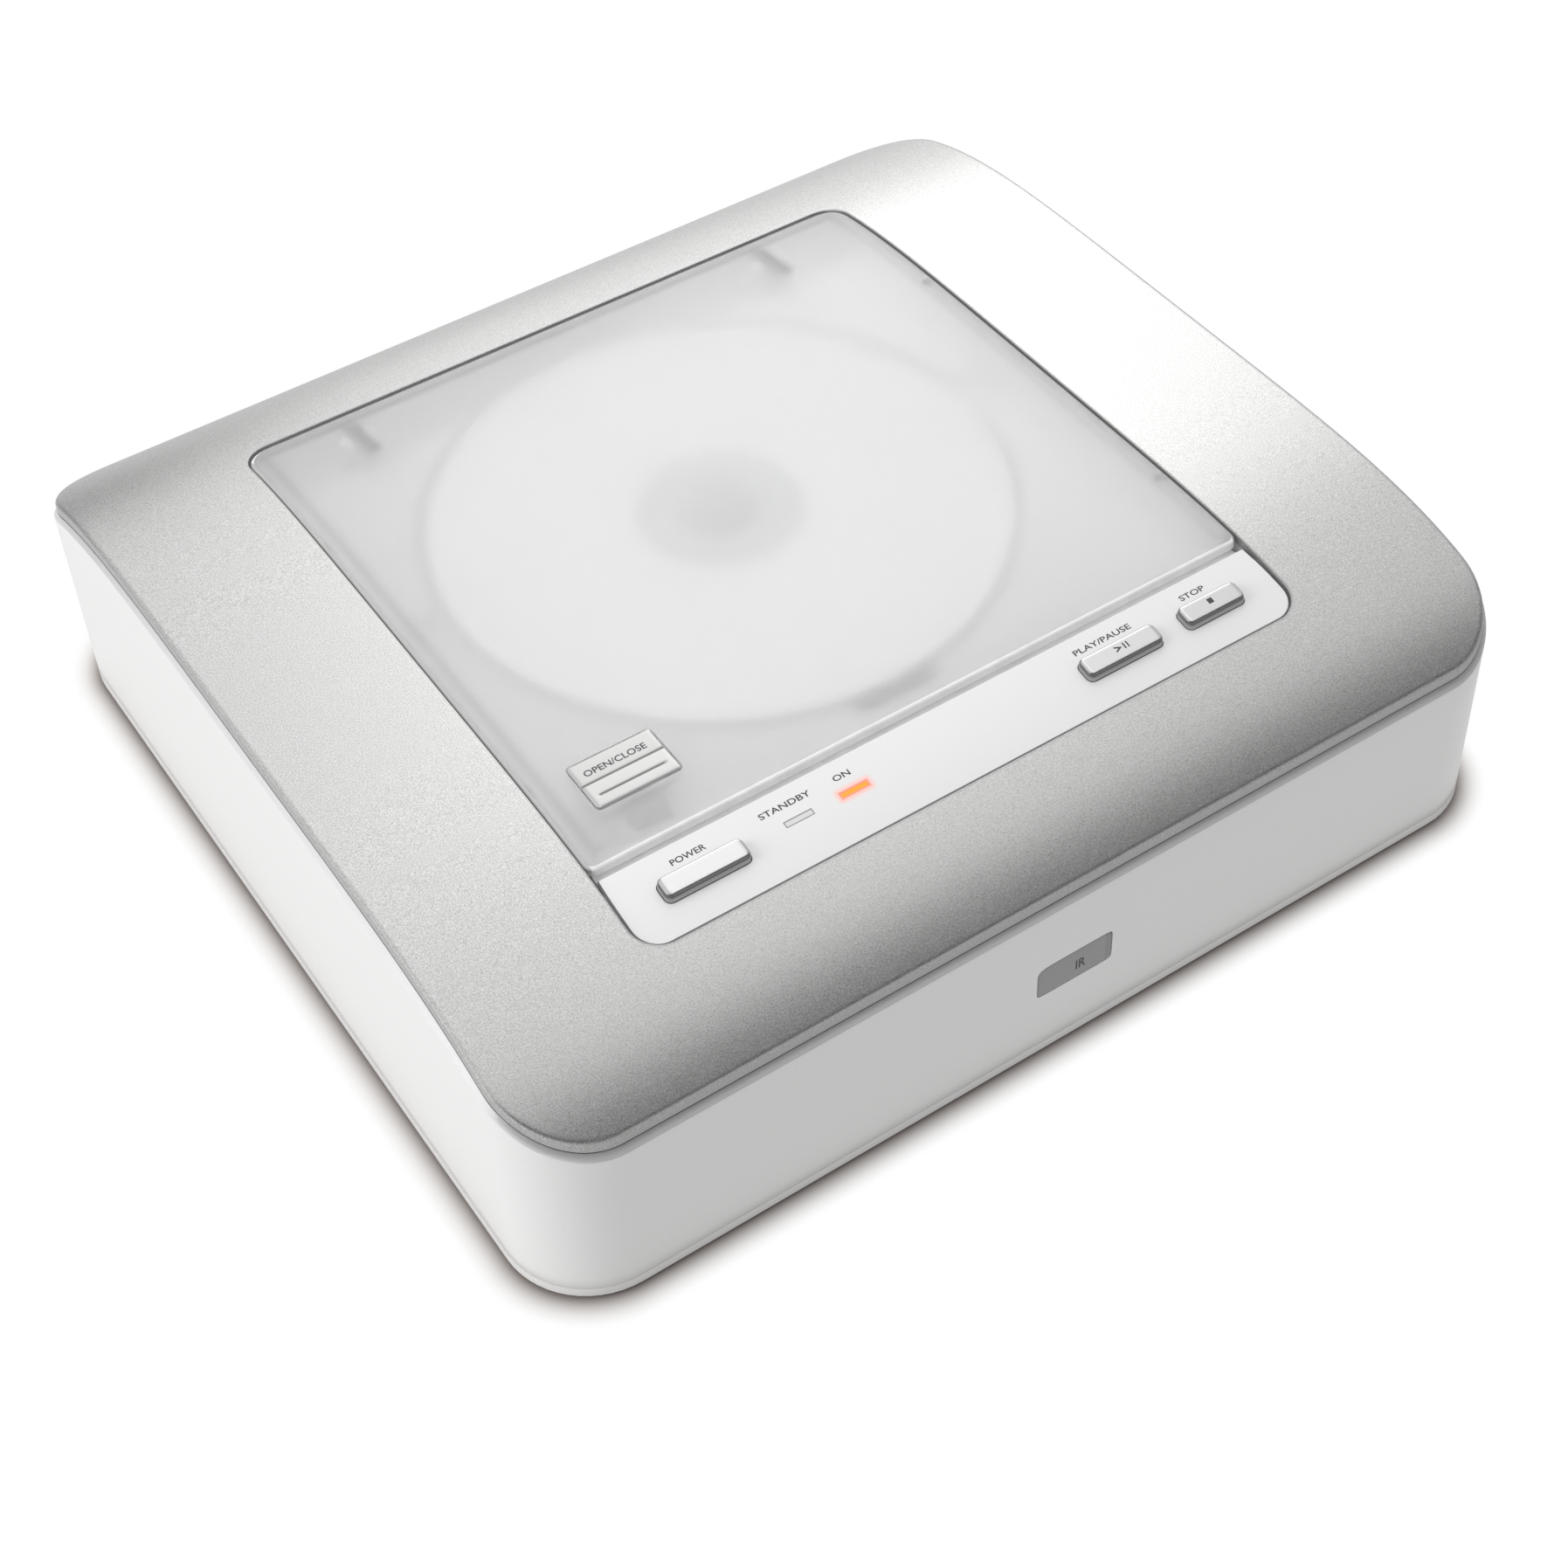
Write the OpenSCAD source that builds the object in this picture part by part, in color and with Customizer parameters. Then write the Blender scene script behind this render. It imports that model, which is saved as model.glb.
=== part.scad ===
// Compact top-loading disc player: white cabinet, arched silver cover, frosted lid.
// Frame: +X right, +Y back, +Z up, origin on the floor under the middle of the body.

/* [Body] */
// Width of the cabinet
body_w = 225; // [215:1:245]
// Depth of the cabinet
body_d = 214; // [210:1:225]
// Plan radius of the four cabinet corners
corner_r = 18; // [14:1:24]
// Thickness of the cabinet wall
wall_t = 2.2; // [1.8:0.1:2.6]
// Height of the cabinet wall's top edge above the floor, at the front
rim_z = 40.3; // [39:0.1:42]
// Rise of the arched top from the front edge to the crown
arch_rise = 15.9; // [14.9:0.1:16.9]
// Flatness of the arch: 2 is a parabola, more is flatter with steeper ends
arch_power = 4.7; // [3.5:0.1:6]

/* [Base] */
// Height of the feet under the bottom cover
foot_gap = 1; // [0.6:0.1:1.2]
// Thickness of the bottom cover
base_t = 2; // [1.6:0.1:2.4]
// Radius of a foot
foot_r = 7; // [5:0.5:9]
// Distance of a foot's axis from the cabinet's side and front
foot_inset = 36; // [34:1:40]

/* [Cover] */
// Height of the sloped trim ring
ring_h = 1.2; // [0.8:0.1:1.6]
// How far the cover's edge is set in from the cabinet wall
cover_inset = 1.2; // [0.8:0.1:1.6]
// Height of the cover's visible edge
cover_edge_h = 2.3; // [2.1:0.1:2.6]
// Thickness of the cover
cover_t = 2; // [1.6:0.1:2.2]
// Width of the cover's opening
opening_w = 150; // [146:1:154]
// Front end of the cover's opening
opening_front_y = -83; // [-84:0.5:-82]
// Back end of the cover's opening
opening_back_y = 78.4; // [78:0.1:79]
// Plan radius of the opening's corners
opening_r = 6; // [4:0.5:8]

/* [Lid] */
// Thickness of the lid
lid_t = 2.2; // [2:0.1:2.4]
// Gap round the lid and the button panel
lid_gap = 0.4; // [0.3:0.05:0.6]
// Gap behind the lid, where its edge swings down
lid_back_gap = 0.8; // [0.7:0.05:0.9]
// Front edge of the lid
lid_front_y = -63.6; // [-64:0.2:-63]
// Distance of each hinge arm from the middle
hinge_x = 51.5; // [48:0.5:55]
// Distance from the lid's back edge forward to the hinge axis
hinge_back = 7.6; // [7.4:0.1:7.8]
// Distance of the hinge axis below the lid's back edge
hinge_drop = 3; // [2.8:0.1:3.2]
// Diameter of a hinge pin
pin_d = 1.5; // [1.4:0.05:1.6]

/* [Keys] */
// Width of the power key and the play/pause key
wide_key_w = 18.6; // [16:0.2:20]
// Width of the stop key
stop_key_w = 14.8; // [12:0.2:16]
// Depth of each key
key_d = 5.2; // [4.8:0.1:5.6]
// How far a key stands above the panel
key_proud = 2; // [1.6:0.1:2.2]
// Travel of a key
key_travel = 0.6; // [0.4:0.05:0.7]
// Width of the open/close key on the lid
open_key_w = 18; // [16:0.5:20]
// Depth of the open/close key
open_key_d = 11.8; // [10:0.2:13]
// Travel of the open/close key
open_key_travel = 1; // [0.8:0.1:1.2]

/* [Disc] */
// Diameter of the disc
disc_d = 120; // [118:1:120]
// Height of the disc's underside
disc_z = 49.8; // [49.6:0.1:50]
// Distance of the spindle behind the body's middle
spindle_y = 10; // [9:0.5:10.5]
// Travel of the pickup
sled_travel = 34; // [30:1:34]

/* [Hidden] */

$fn = 72;
eps = 0.01;
seat = 0.05;
low_z = 30;
high_z = 90;
cover_lift = ring_h + cover_edge_h;
cover_under = cover_lift - cover_t;
base_z = foot_gap + base_t;
arch_steps = 44;
ys = [for (i = [0 : arch_steps]) body_d / 2 * sin(180 * i / arch_steps - 90)];

// The arched top: every visible rim is this curve moved up by a lift
function rim(y) = rim_z + arch_rise * (1 - pow(min(1, 2 * abs(y) / body_d), arch_power));
rim_line = [for (y = ys) [y, rim(y)]];

lid_lift = cover_lift - 0.1;
lid_x = opening_w / 2 - lid_gap;
lid_back_y = opening_back_y - lid_back_gap;
hinge_y = lid_back_y - hinge_back;
hinge_z = rim(lid_back_y) + lid_lift - hinge_drop;
arm_w = 3;
arm_bore_gap = 0.03;
ear_t = 2.4;
ear_gap = 0.25;

ledge_w = 2.8;
ledge_lift = cover_lift - 0.6 - 2;
flange_w = 4.5;
well_floor_z = disc_z - 1.2;
tray_top_z = disc_z + 1;
latch_top_z = tray_top_z + 2.6;
tray_under_z = well_floor_z - 1.8;
tray_front_y = lid_front_y + 3.4;
trench_z = hinge_z - 8.6;
bumper_z = disc_z + 0.2;

panel_drop = 0.6;
panel_t = 2;
panel_fold_y = lid_front_y - 3;
panel_fold_drop = 1.9;
panel_tail_z = rim(tray_front_y) + lid_lift - lid_t - 1.2;
panel_x = opening_w / 2 - lid_gap;
panel_front_y = opening_front_y + lid_gap;
panel_side_r = 27.7;
key_y = -74;
power_x = 17.9 - opening_w / 2;
play_x = opening_w / 2 - 38;
stop_x = opening_w / 2 - 15.9;
open_x = 18.1 - opening_w / 2;
open_y = -46.6;
key_fit = 0.25;
key_board_z = panel_top(key_y) - 10.1;
key_board_t = 1.6;
switch_h = 1.6;
standby_x = 38.8 - opening_w / 2;
on_x = 51 - opening_w / 2;
lens_y = -73.1;
lens_w = 6.2;
lens_d = 1.4;

frame_z = disc_z - 12.8;
frame_t = 1.4;
deck_bottom_z = frame_z + 7;
rod_z = frame_z + 4;
rod_r = 1.5;
rod_x = 22;
screw_x = 33;
screw_z = frame_z + 3;
lens_r0 = 24;
rotor_hole_r = 17.5;
run_fit = 0.05;
damper_x = 44;
damper_y = [spindle_y - 70, spindle_y + 16];

board_z = 9;
board_t = 1.6;
main_x = [56.5 - body_w / 2, body_w / 2 - 32.5];
main_y = [41 - body_d / 2, body_d / 2 - 12];
power_xs = [8.5 - body_w / 2, 52.5 - body_w / 2];
power_ys = [body_d / 2 - 117, body_d / 2 - 31];
post_in = 6;
jack_bay_x = body_w / 2 - 76.5;
jack_bay_w = 102;
jack_bay_d = 9.5;
jack_z = 19;
jack_n = 7;
jack_pitch = 14;
inlet_x = 38.5 - body_w / 2;
screw_at = [body_w / 2 - corner_r - 4, body_d / 2 - corner_r - 4];
window_x = 2.05;
window_w = 17.7;
window_h = 8.2;
window_z = 21.5;
window_recess = 1;

module plan(x0, x1, y0, y1, r) {
    translate([x0 + r, y0])
        square([x1 - x0 - 2 * r, y1 - y0]);
    translate([x0, y0 + r])
        square([x1 - x0, y1 - y0 - 2 * r]);
    for (x = [x0 + r, x1 - r])
        for (y = [y0 + r, y1 - r])
            translate([x, y])
                circle(r);
}

// Upright block with rounded plan corners
module slab(x0, x1, y0, y1, r, z0, z1) {
    translate([0, 0, z0])
        linear_extrude(z1 - z0)
            plan(x0, x1, y0, y1, r);
}

// The cabinet's outline set in by an amount
module body_slab(inset, z0, z1) {
    x = body_w / 2 - inset;
    y = body_d / 2 - inset;
    slab(-x, x, -y, y, corner_r - inset, z0, z1);
}

// The cover's opening grown by an amount
module opening_slab(grow, z0, z1) {
    x = opening_w / 2 + grow;
    slab(-x, x, opening_front_y - grow, opening_back_y + grow, opening_r + grow, z0, z1);
}

// Shape seen from the right, extruded across the width
module side_shape(x0, x1) {
    translate([x0, 0, 0])
        rotate([90, 0, 90])
            linear_extrude(x1 - x0)
                children();
}

// Everything under the arch moved up by a lift
module under_arch(lift) {
    edge = body_d / 2 + 2;
    side_shape(-body_w / 2 - 2, body_w / 2 + 2)
        polygon(concat(
            [[edge, -2], [-edge, -2], [-edge, rim(edge) + lift]],
            [for (y = ys) [y, rim(y) + lift]],
            [[edge, rim(edge) + lift]]
        ));
}

module arch_layer(low, high) {
    difference() {
        under_arch(high);
        under_arch(low);
    }
}

module box(x0, x1, y0, y1, z0, z1) {
    translate([x0, y0, z0])
        cube([x1 - x0, y1 - y0, z1 - z0]);
}

module bottom_cover() {
    color("WhiteSmoke")
        difference() {
            union() {
                body_slab(0, foot_gap, base_z);
                for (p = main_posts())
                    translate([p[0], p[1], base_z - 1])
                        cylinder(r = 3.2, h = board_z - base_z + 1);
                for (p = power_posts())
                    translate([p[0], p[1], base_z - 1])
                        cylinder(r = 3.2, h = board_z - base_z + 1);
            }
            for (x = [-1, 1])
                for (y = [-1, 1]) {
                    translate([x * (body_w / 2 - foot_inset), y * (body_d / 2 - foot_inset), foot_gap - 1])
                        cylinder(r = foot_r, h = 1 + base_t / 2);
                    translate([x * screw_at[0], y * screw_at[1], foot_gap - 1])
                        cylinder(r = 1.7, h = 20);
                    translate([x * screw_at[0], y * screw_at[1], foot_gap - 1])
                        cylinder(r = 3.3, h = 2.2);
                }
            for (p = concat(main_posts(), power_posts()))
                translate([p[0], p[1], base_z])
                    cylinder(r = 1.2, h = 20);
            for (i = [-7 : 7])
                for (y = [-30, 30])
                    slab(i * 6 - 1.2, i * 6 + 1.2, y - 16, y + 16, 1.15, foot_gap - 1, base_z + 1);
        }
}

module feet() {
    color("DimGray")
        for (x = [-1, 1])
            for (y = [-1, 1])
                translate([x * (body_w / 2 - foot_inset), y * (body_d / 2 - foot_inset), 0]) {
                    translate([0, 0, 0.3])
                        cylinder(r = foot_r - 0.1, h = foot_gap + base_t / 2 - 0.3 - seat);
                    cylinder(r1 = foot_r - 0.6, r2 = foot_r - 0.1, h = 0.3);
                }
}

module case_screws() {
    color("Silver")
        for (x = [-1, 1])
            for (y = [-1, 1])
                translate([x * screw_at[0], y * screw_at[1], foot_gap + 0.1]) {
                    difference() {
                        cylinder(r = 3, h = 1.1 - seat);
                        translate([0, 0, -1])
                            box(-2, 2, -0.4, 0.4, 0, 1.6);
                        translate([0, 0, -1])
                            box(-0.4, 0.4, -2, 2, 0, 1.6);
                    }
                    cylinder(r = 1.5, h = 14);
                }
}

module cabinet() {
    bay_x0 = jack_bay_x - jack_bay_w / 2;
    bay_x1 = jack_bay_x + jack_bay_w / 2;
    color("White")
        difference() {
            union() {
                difference() {
                    intersection() {
                        body_slab(0, base_z, rim_z + arch_rise + 1);
                        under_arch(0);
                    }
                    body_slab(wall_t, 0, 90);
                }
                for (x = [-1, 1])
                    for (y = [-1, 1])
                        intersection() {
                            translate([x * screw_at[0], y * screw_at[1], base_z]) {
                                cylinder(r = 4.5, h = 18);
                                rotate([0, 0, x * y > 0 ? (x > 0 ? 45 : -135) : (x > 0 ? -45 : 135)])
                                    translate([0, -0.8, 0])
                                        cube([corner_r + 8, 1.6, 16]);
                            }
                            body_slab(0.5, 0, 90);
                        }
            }
            for (x = [-1, 1])
                for (y = [-1, 1])
                    translate([x * screw_at[0], y * screw_at[1], base_z - 1])
                        cylinder(r = 1.5, h = 14);
            box(bay_x0, bay_x1, 90, 120, jack_z - 10, jack_z + 11);
            box(inlet_x - 11, inlet_x + 11, 90, 120, jack_z - 9, jack_z + 9);
            slab_window(window_w, window_h, 0.6, -body_d / 2 - 1, -body_d / 2 + wall_t + 1);
            for (i = [0 : 9])
                box(-60 + i * 5, -58 + i * 5, 90, 120, jack_z - 8, jack_z + 12);
        }
}

// Block with the IR window's rounded face, between two planes across the depth
module slab_window(w, h, r, y0, y1) {
    translate([window_x, y1, window_z])
        rotate([90, 0, 0])
            linear_extrude(y1 - y0)
                plan(-w / 2, w / 2, -h / 2, h / 2, r);
}

// One loop of the trim ring: the cabinet's outline set in, lifted over the rim
function arc_points(a0, set_in) =
    let (x = (a0 < 90 || a0 >= 270 ? 1 : -1) * (body_w / 2 - corner_r))
    let (y = (a0 < 180 ? 1 : -1) * (body_d / 2 - corner_r))
    [for (a = [a0 : 7.5 : a0 + 90]) [x, y] + (corner_r - set_in) * [cos(a), sin(a)]];
side_ys = [for (y = ys) if (abs(y) < body_d / 2 - corner_r) y];
function outline(set_in) = concat(
    [for (y = side_ys) [body_w / 2 - set_in, y]],
    arc_points(0, set_in),
    arc_points(90, set_in),
    [for (i = [len(side_ys) - 1 : -1 : 0]) [set_in - body_w / 2, side_ys[i]]],
    arc_points(180, set_in),
    arc_points(270, set_in)
);
function loop(set_in, lift) = [for (p = outline(set_in)) [p[0], p[1], lookup(p[1], rim_line) + lift]];

module trim_ring() {
    n = len(outline(0));
    color("LightGray") {
        polyhedron(
            points = concat(
                loop(0, seat),
                loop(cover_inset, ring_h - seat),
                loop(wall_t, ring_h - seat),
                loop(wall_t, seat)
            ),
            faces = [for (k = [0 : 3]) for (i = [0 : n - 1]) for (half = [0, 1])
                let (a = k * n + i)
                let (b = k * n + (i + 1) % n)
                let (c = (k + 1) % 4 * n + (i + 1) % n)
                let (d = (k + 1) % 4 * n + i)
                half == 0 ? [a, c, b] : [a, d, c]]
        );
        intersection() {
            difference() {
                body_slab(wall_t - 0.2, 30, 80);
                body_slab(wall_t + 1.2, 20, 90);
            }
            arch_layer(ring_h / 2, ring_h - 2 * seat);
        }
        intersection() {
            difference() {
                body_slab(wall_t + 0.1, 30, 80);
                body_slab(wall_t + 1.2, 20, 90);
            }
            arch_layer(-3, ring_h - 2 * seat);
        }
    }
}

module top_cover() {
    color("Silver")
        difference() {
            intersection() {
                body_slab(cover_inset, 30, 80);
                union() {
                    arch_layer(cover_under, cover_lift);
                    difference() {
                        arch_layer(ring_h, cover_lift);
                        body_slab(cover_inset + 2, 0, 90);
                    }
                }
            }
            opening_slab(0, 20, 90);
        }
}

module deck() {
    tray_x = opening_w / 2 + 1;
    tray_back_y = opening_back_y + 1;
    color("White")
        difference() {
            union() {
                intersection() {
                    difference() {
                        opening_slab(flange_w, deck_bottom_z, 80);
                        opening_slab(-ledge_w, 20, 90);
                    }
                    under_arch(cover_under - seat);
                }
                box(-tray_x, tray_x, tray_front_y, tray_back_y, tray_under_z, tray_top_z);
                box(-tray_x, tray_x, tray_front_y, tray_front_y + 2, tray_under_z, panel_tail_z - panel_t);
                box(-tray_x, tray_x, hinge_y - 7.6, tray_back_y, trench_z - 1.8, tray_top_z);
                for (x = [-1, 1])
                    for (s = [-1, 1])
                        translate([x * hinge_x + s * (arm_w / 2 + ear_gap + ear_t / 2), 0, 0])
                            ear();
                for (x = [-1, 1])
                    for (y = damper_y)
                        translate([x * damper_x, y, frame_z + frame_t + 4])
                            cylinder(r = 4, h = tray_under_z - frame_z - frame_t - 3);
            }
            intersection() {
                opening_slab(0.2, 30, 90);
                arch_layer(ledge_lift - seat, 20);
            }
            box(0.8 - tray_x, tray_x - 0.8, panel_fold_y - 0.6, tray_front_y,
                panel_tail_z - panel_t - 0.2, high_z);
            translate([0, spindle_y, well_floor_z])
                cylinder(r = disc_d / 2 + 2.5, h = 20);
            for (x = [-1, 1])
                translate([x * (disc_d / 2 + 4), spindle_y, well_floor_z])
                    cylinder(r = 8, h = 20);
            translate([0, spindle_y, 20])
                cylinder(r = rotor_hole_r, h = 40);
            slab(-10, 10, spindle_y - lens_r0 - sled_travel - 7, spindle_y, 4, 20, 60);
            trench();
            for (x = [-1, 1])
                for (y = damper_y)
                    translate([x * damper_x, y, low_z])
                        cylinder(r = 1.5, h = frame_z + 8.5 - low_z);
            for (x = [-1, 1])
                for (y = [-40, 40])
                    translate([x * (opening_w / 2 - ledge_w / 2), y, bumper_z])
                        cylinder(r = 0.9, h = 10);
        }
}

// Ear that holds one end of a hinge pin
module ear() {
    side_shape(-ear_t / 2, ear_t / 2)
        difference() {
            union() {
                translate([hinge_y, hinge_z])
                    circle(r = 1.7);
                translate([hinge_y - 1.7, trench_z - 1])
                    square([3.4, hinge_z - trench_z + 1]);
            }
            translate([hinge_y, hinge_z])
                circle(d = pin_d);
        }
}

// Space the lid's back edge swings through, with the hinge ears left standing
module trench() {
    difference() {
        box(-opening_w / 2 - 0.2, opening_w / 2 + 0.2, hinge_y - 5.6, opening_back_y + 0.2, trench_z, 80);
        for (x = [-1, 1])
            for (s = [-1, 1])
                translate([x * hinge_x + s * (arm_w / 2 + ear_gap + ear_t / 2), 0, 0])
                    ear();
    }
    for (x = [-1, 1])
        translate([x * hinge_x, hinge_y, hinge_z])
            rotate([0, 90, 0])
                cylinder(d = pin_d, h = 2 * ear_t + arm_w + 2 * ear_gap, center = true);
}

// Plan of the panel: straight at the front, its sides curving in where they run under the lid
module panel_outline() {
    bend_y = panel_front_y + 7.4;
    back_y = tray_front_y;
    x = panel_x - panel_side_r;
    difference() {
        union() {
            plan(-panel_x, panel_x, panel_front_y, bend_y + 7, 5);
            translate([-panel_x, panel_front_y + 5])
                square([2 * panel_x, bend_y - panel_front_y - 5]);
        }
        translate([-90, bend_y])
            square([180, 20]);
    }
    translate([-x, bend_y - 1])
        square([2 * x, back_y - bend_y + 1]);
    for (s = [-1, 1])
        intersection() {
            translate([s * x, bend_y])
                circle(r = panel_side_r);
            translate([-90, bend_y - eps])
                square([180, back_y - bend_y + eps]);
        }
}

panel_ys = concat([for (y = ys) if (y > panel_front_y && y < panel_fold_y) y], [panel_fold_y]);
function panel_top(y) = rim(y) + cover_lift - panel_drop;

// The panel seen from the side: it follows the arch, then drops under the lid
module panel_side(drop) {
    front_y = opening_front_y - 2;
    polygon(concat(
        [[tray_front_y, low_z], [front_y, low_z], [front_y, panel_top(front_y) - drop]],
        [for (y = panel_ys) [y, panel_top(y) - drop]],
        [
            [panel_fold_y + 2.4, panel_top(panel_fold_y) - panel_fold_drop - drop],
            [tray_front_y, panel_tail_z - drop]
        ]
    ));
}

module button_panel() {
    color("White")
        difference() {
            union() {
                intersection() {
                    translate([0, 0, 30])
                        linear_extrude(60)
                            panel_outline();
                    difference() {
                        side_shape(-80, 80)
                            panel_side(0);
                        side_shape(-90, 90)
                            panel_side(panel_t);
                    }
                }
                for (x = [4.6 - panel_x, -8, 12, panel_x - 4.6])
                    translate([x, key_y, key_board_z + seat])
                        cylinder(r = 1.8, h = 8);
            }
            key_hole(power_x, wide_key_w);
            key_hole(play_x, wide_key_w);
            key_hole(stop_x, stop_key_w);
            for (x = [standby_x, on_x])
                box(x - lens_w / 2, x + lens_w / 2, lens_y - lens_d / 2, lens_y + lens_d / 2, low_z, high_z);
        }
}

module key_hole(x, w) {
    half_w = w / 2 + key_fit;
    half_d = key_d / 2 + key_fit;
    slab(x - half_w, x + half_w, key_y - half_d, key_y + half_d, 0.8, low_z, high_z);
}

// Section of a key's cap: sides leaning in to a bevel of a given drop, and a flat top
module bevelled(foot, shoulder, drop, top) {
    polygon([[-foot, -12], [foot, -12], [shoulder, -drop], [top, 0], [-top, 0], [-shoulder, -drop]]);
}

// A rocker-topped key: bevelled cap, straight plug through the panel, stop flange and stem
module panel_key(x, w) {
    top_z = panel_top(key_y) + key_proud;
    under_z = panel_top(key_y) - panel_t;
    tilt = atan2(panel_top(key_y + 2) - panel_top(key_y - 2), 4);
    half_w = w / 2;
    half_d = key_d / 2;
    lip = 0.9;
    color("Silver") {
        intersection() {
            slab(x - half_w, x + half_w, key_y - half_d, key_y + half_d, 0.6, under_z - 2.4, top_z + 2);
            translate([x, key_y, top_z])
                rotate([tilt, 0, 0])
                    intersection() {
                        side_shape(-w, w)
                            bevelled(key_d, half_d + 0.4, 2.2, 1.5);
                        rotate([90, 0, 0])
                            linear_extrude(40, center = true)
                                bevelled(w, half_w + 0.3, 1.9, half_w - 1.5);
                    }
        }
        slab(x - half_w - lip, x + half_w + lip, key_y - half_d - lip, key_y + half_d + lip, 0.8,
            under_z - 2.2, under_z - 1);
        translate([x, key_y, key_board_z + switch_h + key_travel + 0.15])
            cylinder(r = 1.6, h = under_z - 2 - key_board_z - switch_h - key_travel);
    }
}

module power_button() {
    panel_key(power_x, wide_key_w);
}

module play_pause_button() {
    panel_key(play_x, wide_key_w);
}

module stop_button() {
    panel_key(stop_x, stop_key_w);
}

module indicator_lens(x) {
    lens_x = lens_w / 2 - seat;
    lens_half = lens_d / 2 - seat;
    foot_z = key_board_z + 3.8;
    intersection() {
        union() {
            box(x - lens_x, x + lens_x, lens_y - lens_half, lens_y + lens_half, foot_z, high_z);
            box(x - 3.8, x + 3.8, lens_y - 1.4, lens_y + 1.4, foot_z, panel_top(lens_y) - panel_t - 0.4);
        }
        side_shape(-opening_w / 2, opening_w / 2)
            panel_side(0);
    }
}

module standby_lens() {
    color("Gray")
        indicator_lens(standby_x);
}

module on_lens() {
    color("Orange")
        indicator_lens(on_x);
}

module key_board() {
    board_x = opening_w / 2 - ledge_w - 0.4;
    front_y = opening_front_y + ledge_w + 0.3;
    color("DarkGreen")
        difference() {
            slab(-board_x, board_x, front_y, damper_y[0] - 4.6, 4, key_board_z - key_board_t, key_board_z);
            for (x = [power_x, play_x, stop_x])
                translate([x, key_y + 5, 30])
                    cylinder(r = 0.6, h = 30);
        }
}

module tact_switches() {
    color("DarkSlateGray")
        for (x = [power_x, play_x, stop_x])
            translate([x, key_y, key_board_z + seat]) {
                translate([-3, -3, 0])
                    cube([6, 6, 1.1]);
                cylinder(r = 1.4, h = switch_h);
            }
}

module indicator_leds() {
    color("LightYellow")
        for (x = [standby_x, on_x])
            translate([x, lens_y, key_board_z + seat]) {
                cylinder(r = 1.9, h = 0.6);
                cylinder(r = 1.5, h = 1.6);
                translate([0, 0, 1.6])
                    sphere(r = 1.5);
            }
}

// Smoked window: its face stands in the wall's opening, its flange lies against the wall inside
module ir_window() {
    face_y = window_recess - body_d / 2;
    wall_y = wall_t - body_d / 2;
    color("DarkSlateGray")
        difference() {
            union() {
                slab_window(window_w - 2 * seat, window_h - 2 * seat, 0.6, face_y, wall_y + 0.6);
                slab_window(window_w + 4, window_h + 4, 1, wall_y + seat, wall_y + 1.4);
            }
            slab_window(window_w - 4, window_h - 3, 0.6, face_y + 1.2, wall_y + 3);
        }
}

module ir_receiver() {
    y = wall_t + 1.4 + seat - body_d / 2;
    color("DarkGreen")
        slab_window(window_w + 4, window_h + 3, 0.6, y, y + 1.2);
    color("Black")
        box(window_x - 3.5, window_x + 3.5, y - 1.4, y + 0.1, window_z - 2.4, window_z + 2.4);
}

module lid() {
    color("Gainsboro")
        difference() {
            intersection() {
                union() {
                    slab(-lid_x, lid_x, 0, lid_back_y, opening_r - lid_gap, 20, 90);
                    slab(-lid_x, lid_x, lid_front_y, 20, 1.2, 20, 90);
                }
                arch_layer(lid_lift - lid_t, lid_lift);
            }
            slab(open_x - open_key_w / 2 - key_fit, open_x + open_key_w / 2 + key_fit,
                open_y - open_key_d / 2 - key_fit, open_y + open_key_d / 2 + key_fit, 1.2, 20, 90);
        }
}

module hinge_arms() {
    arm_front = hinge_y - 8;
    arm_back = hinge_y + 5.6;
    color("WhiteSmoke")
        for (x = [-hinge_x, hinge_x])
            difference() {
                intersection() {
                    side_shape(x - arm_w / 2, x + arm_w / 2) {
                        translate([hinge_y, hinge_z])
                            circle(r = 2);
                        polygon([
                            [arm_front, hinge_z + 7],
                            [arm_front, hinge_z + 1.9],
                            [hinge_y - 1.8, hinge_z - 0.8],
                            [hinge_y + 1.8, hinge_z - 0.8],
                            [arm_back, hinge_z + 0.5],
                            [arm_back, hinge_z + 7]
                        ]);
                    }
                    under_arch(lid_lift - lid_t - seat);
                }
                translate([x, hinge_y, hinge_z])
                    rotate([0, 90, 0])
                        cylinder(r = pin_d / 2 + arm_bore_gap, h = 10, center = true);
            }
}

module hinge_pins() {
    color("Silver")
        for (x = [-hinge_x, hinge_x])
            translate([x, hinge_y, hinge_z])
                rotate([0, 90, 0])
                    cylinder(d = pin_d, h = 2 * ear_t + arm_w + 2 * ear_gap, center = true);
}

module lid_bumpers() {
    color("DimGray")
        intersection() {
            for (x = [-1, 1])
                for (y = [-40, 40])
                    translate([x * (opening_w / 2 - ledge_w / 2), y, bumper_z + seat])
                        cylinder(r = 0.9 - seat / 5, h = 20);
            under_arch(lid_lift - lid_t - seat);
        }
}

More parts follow.
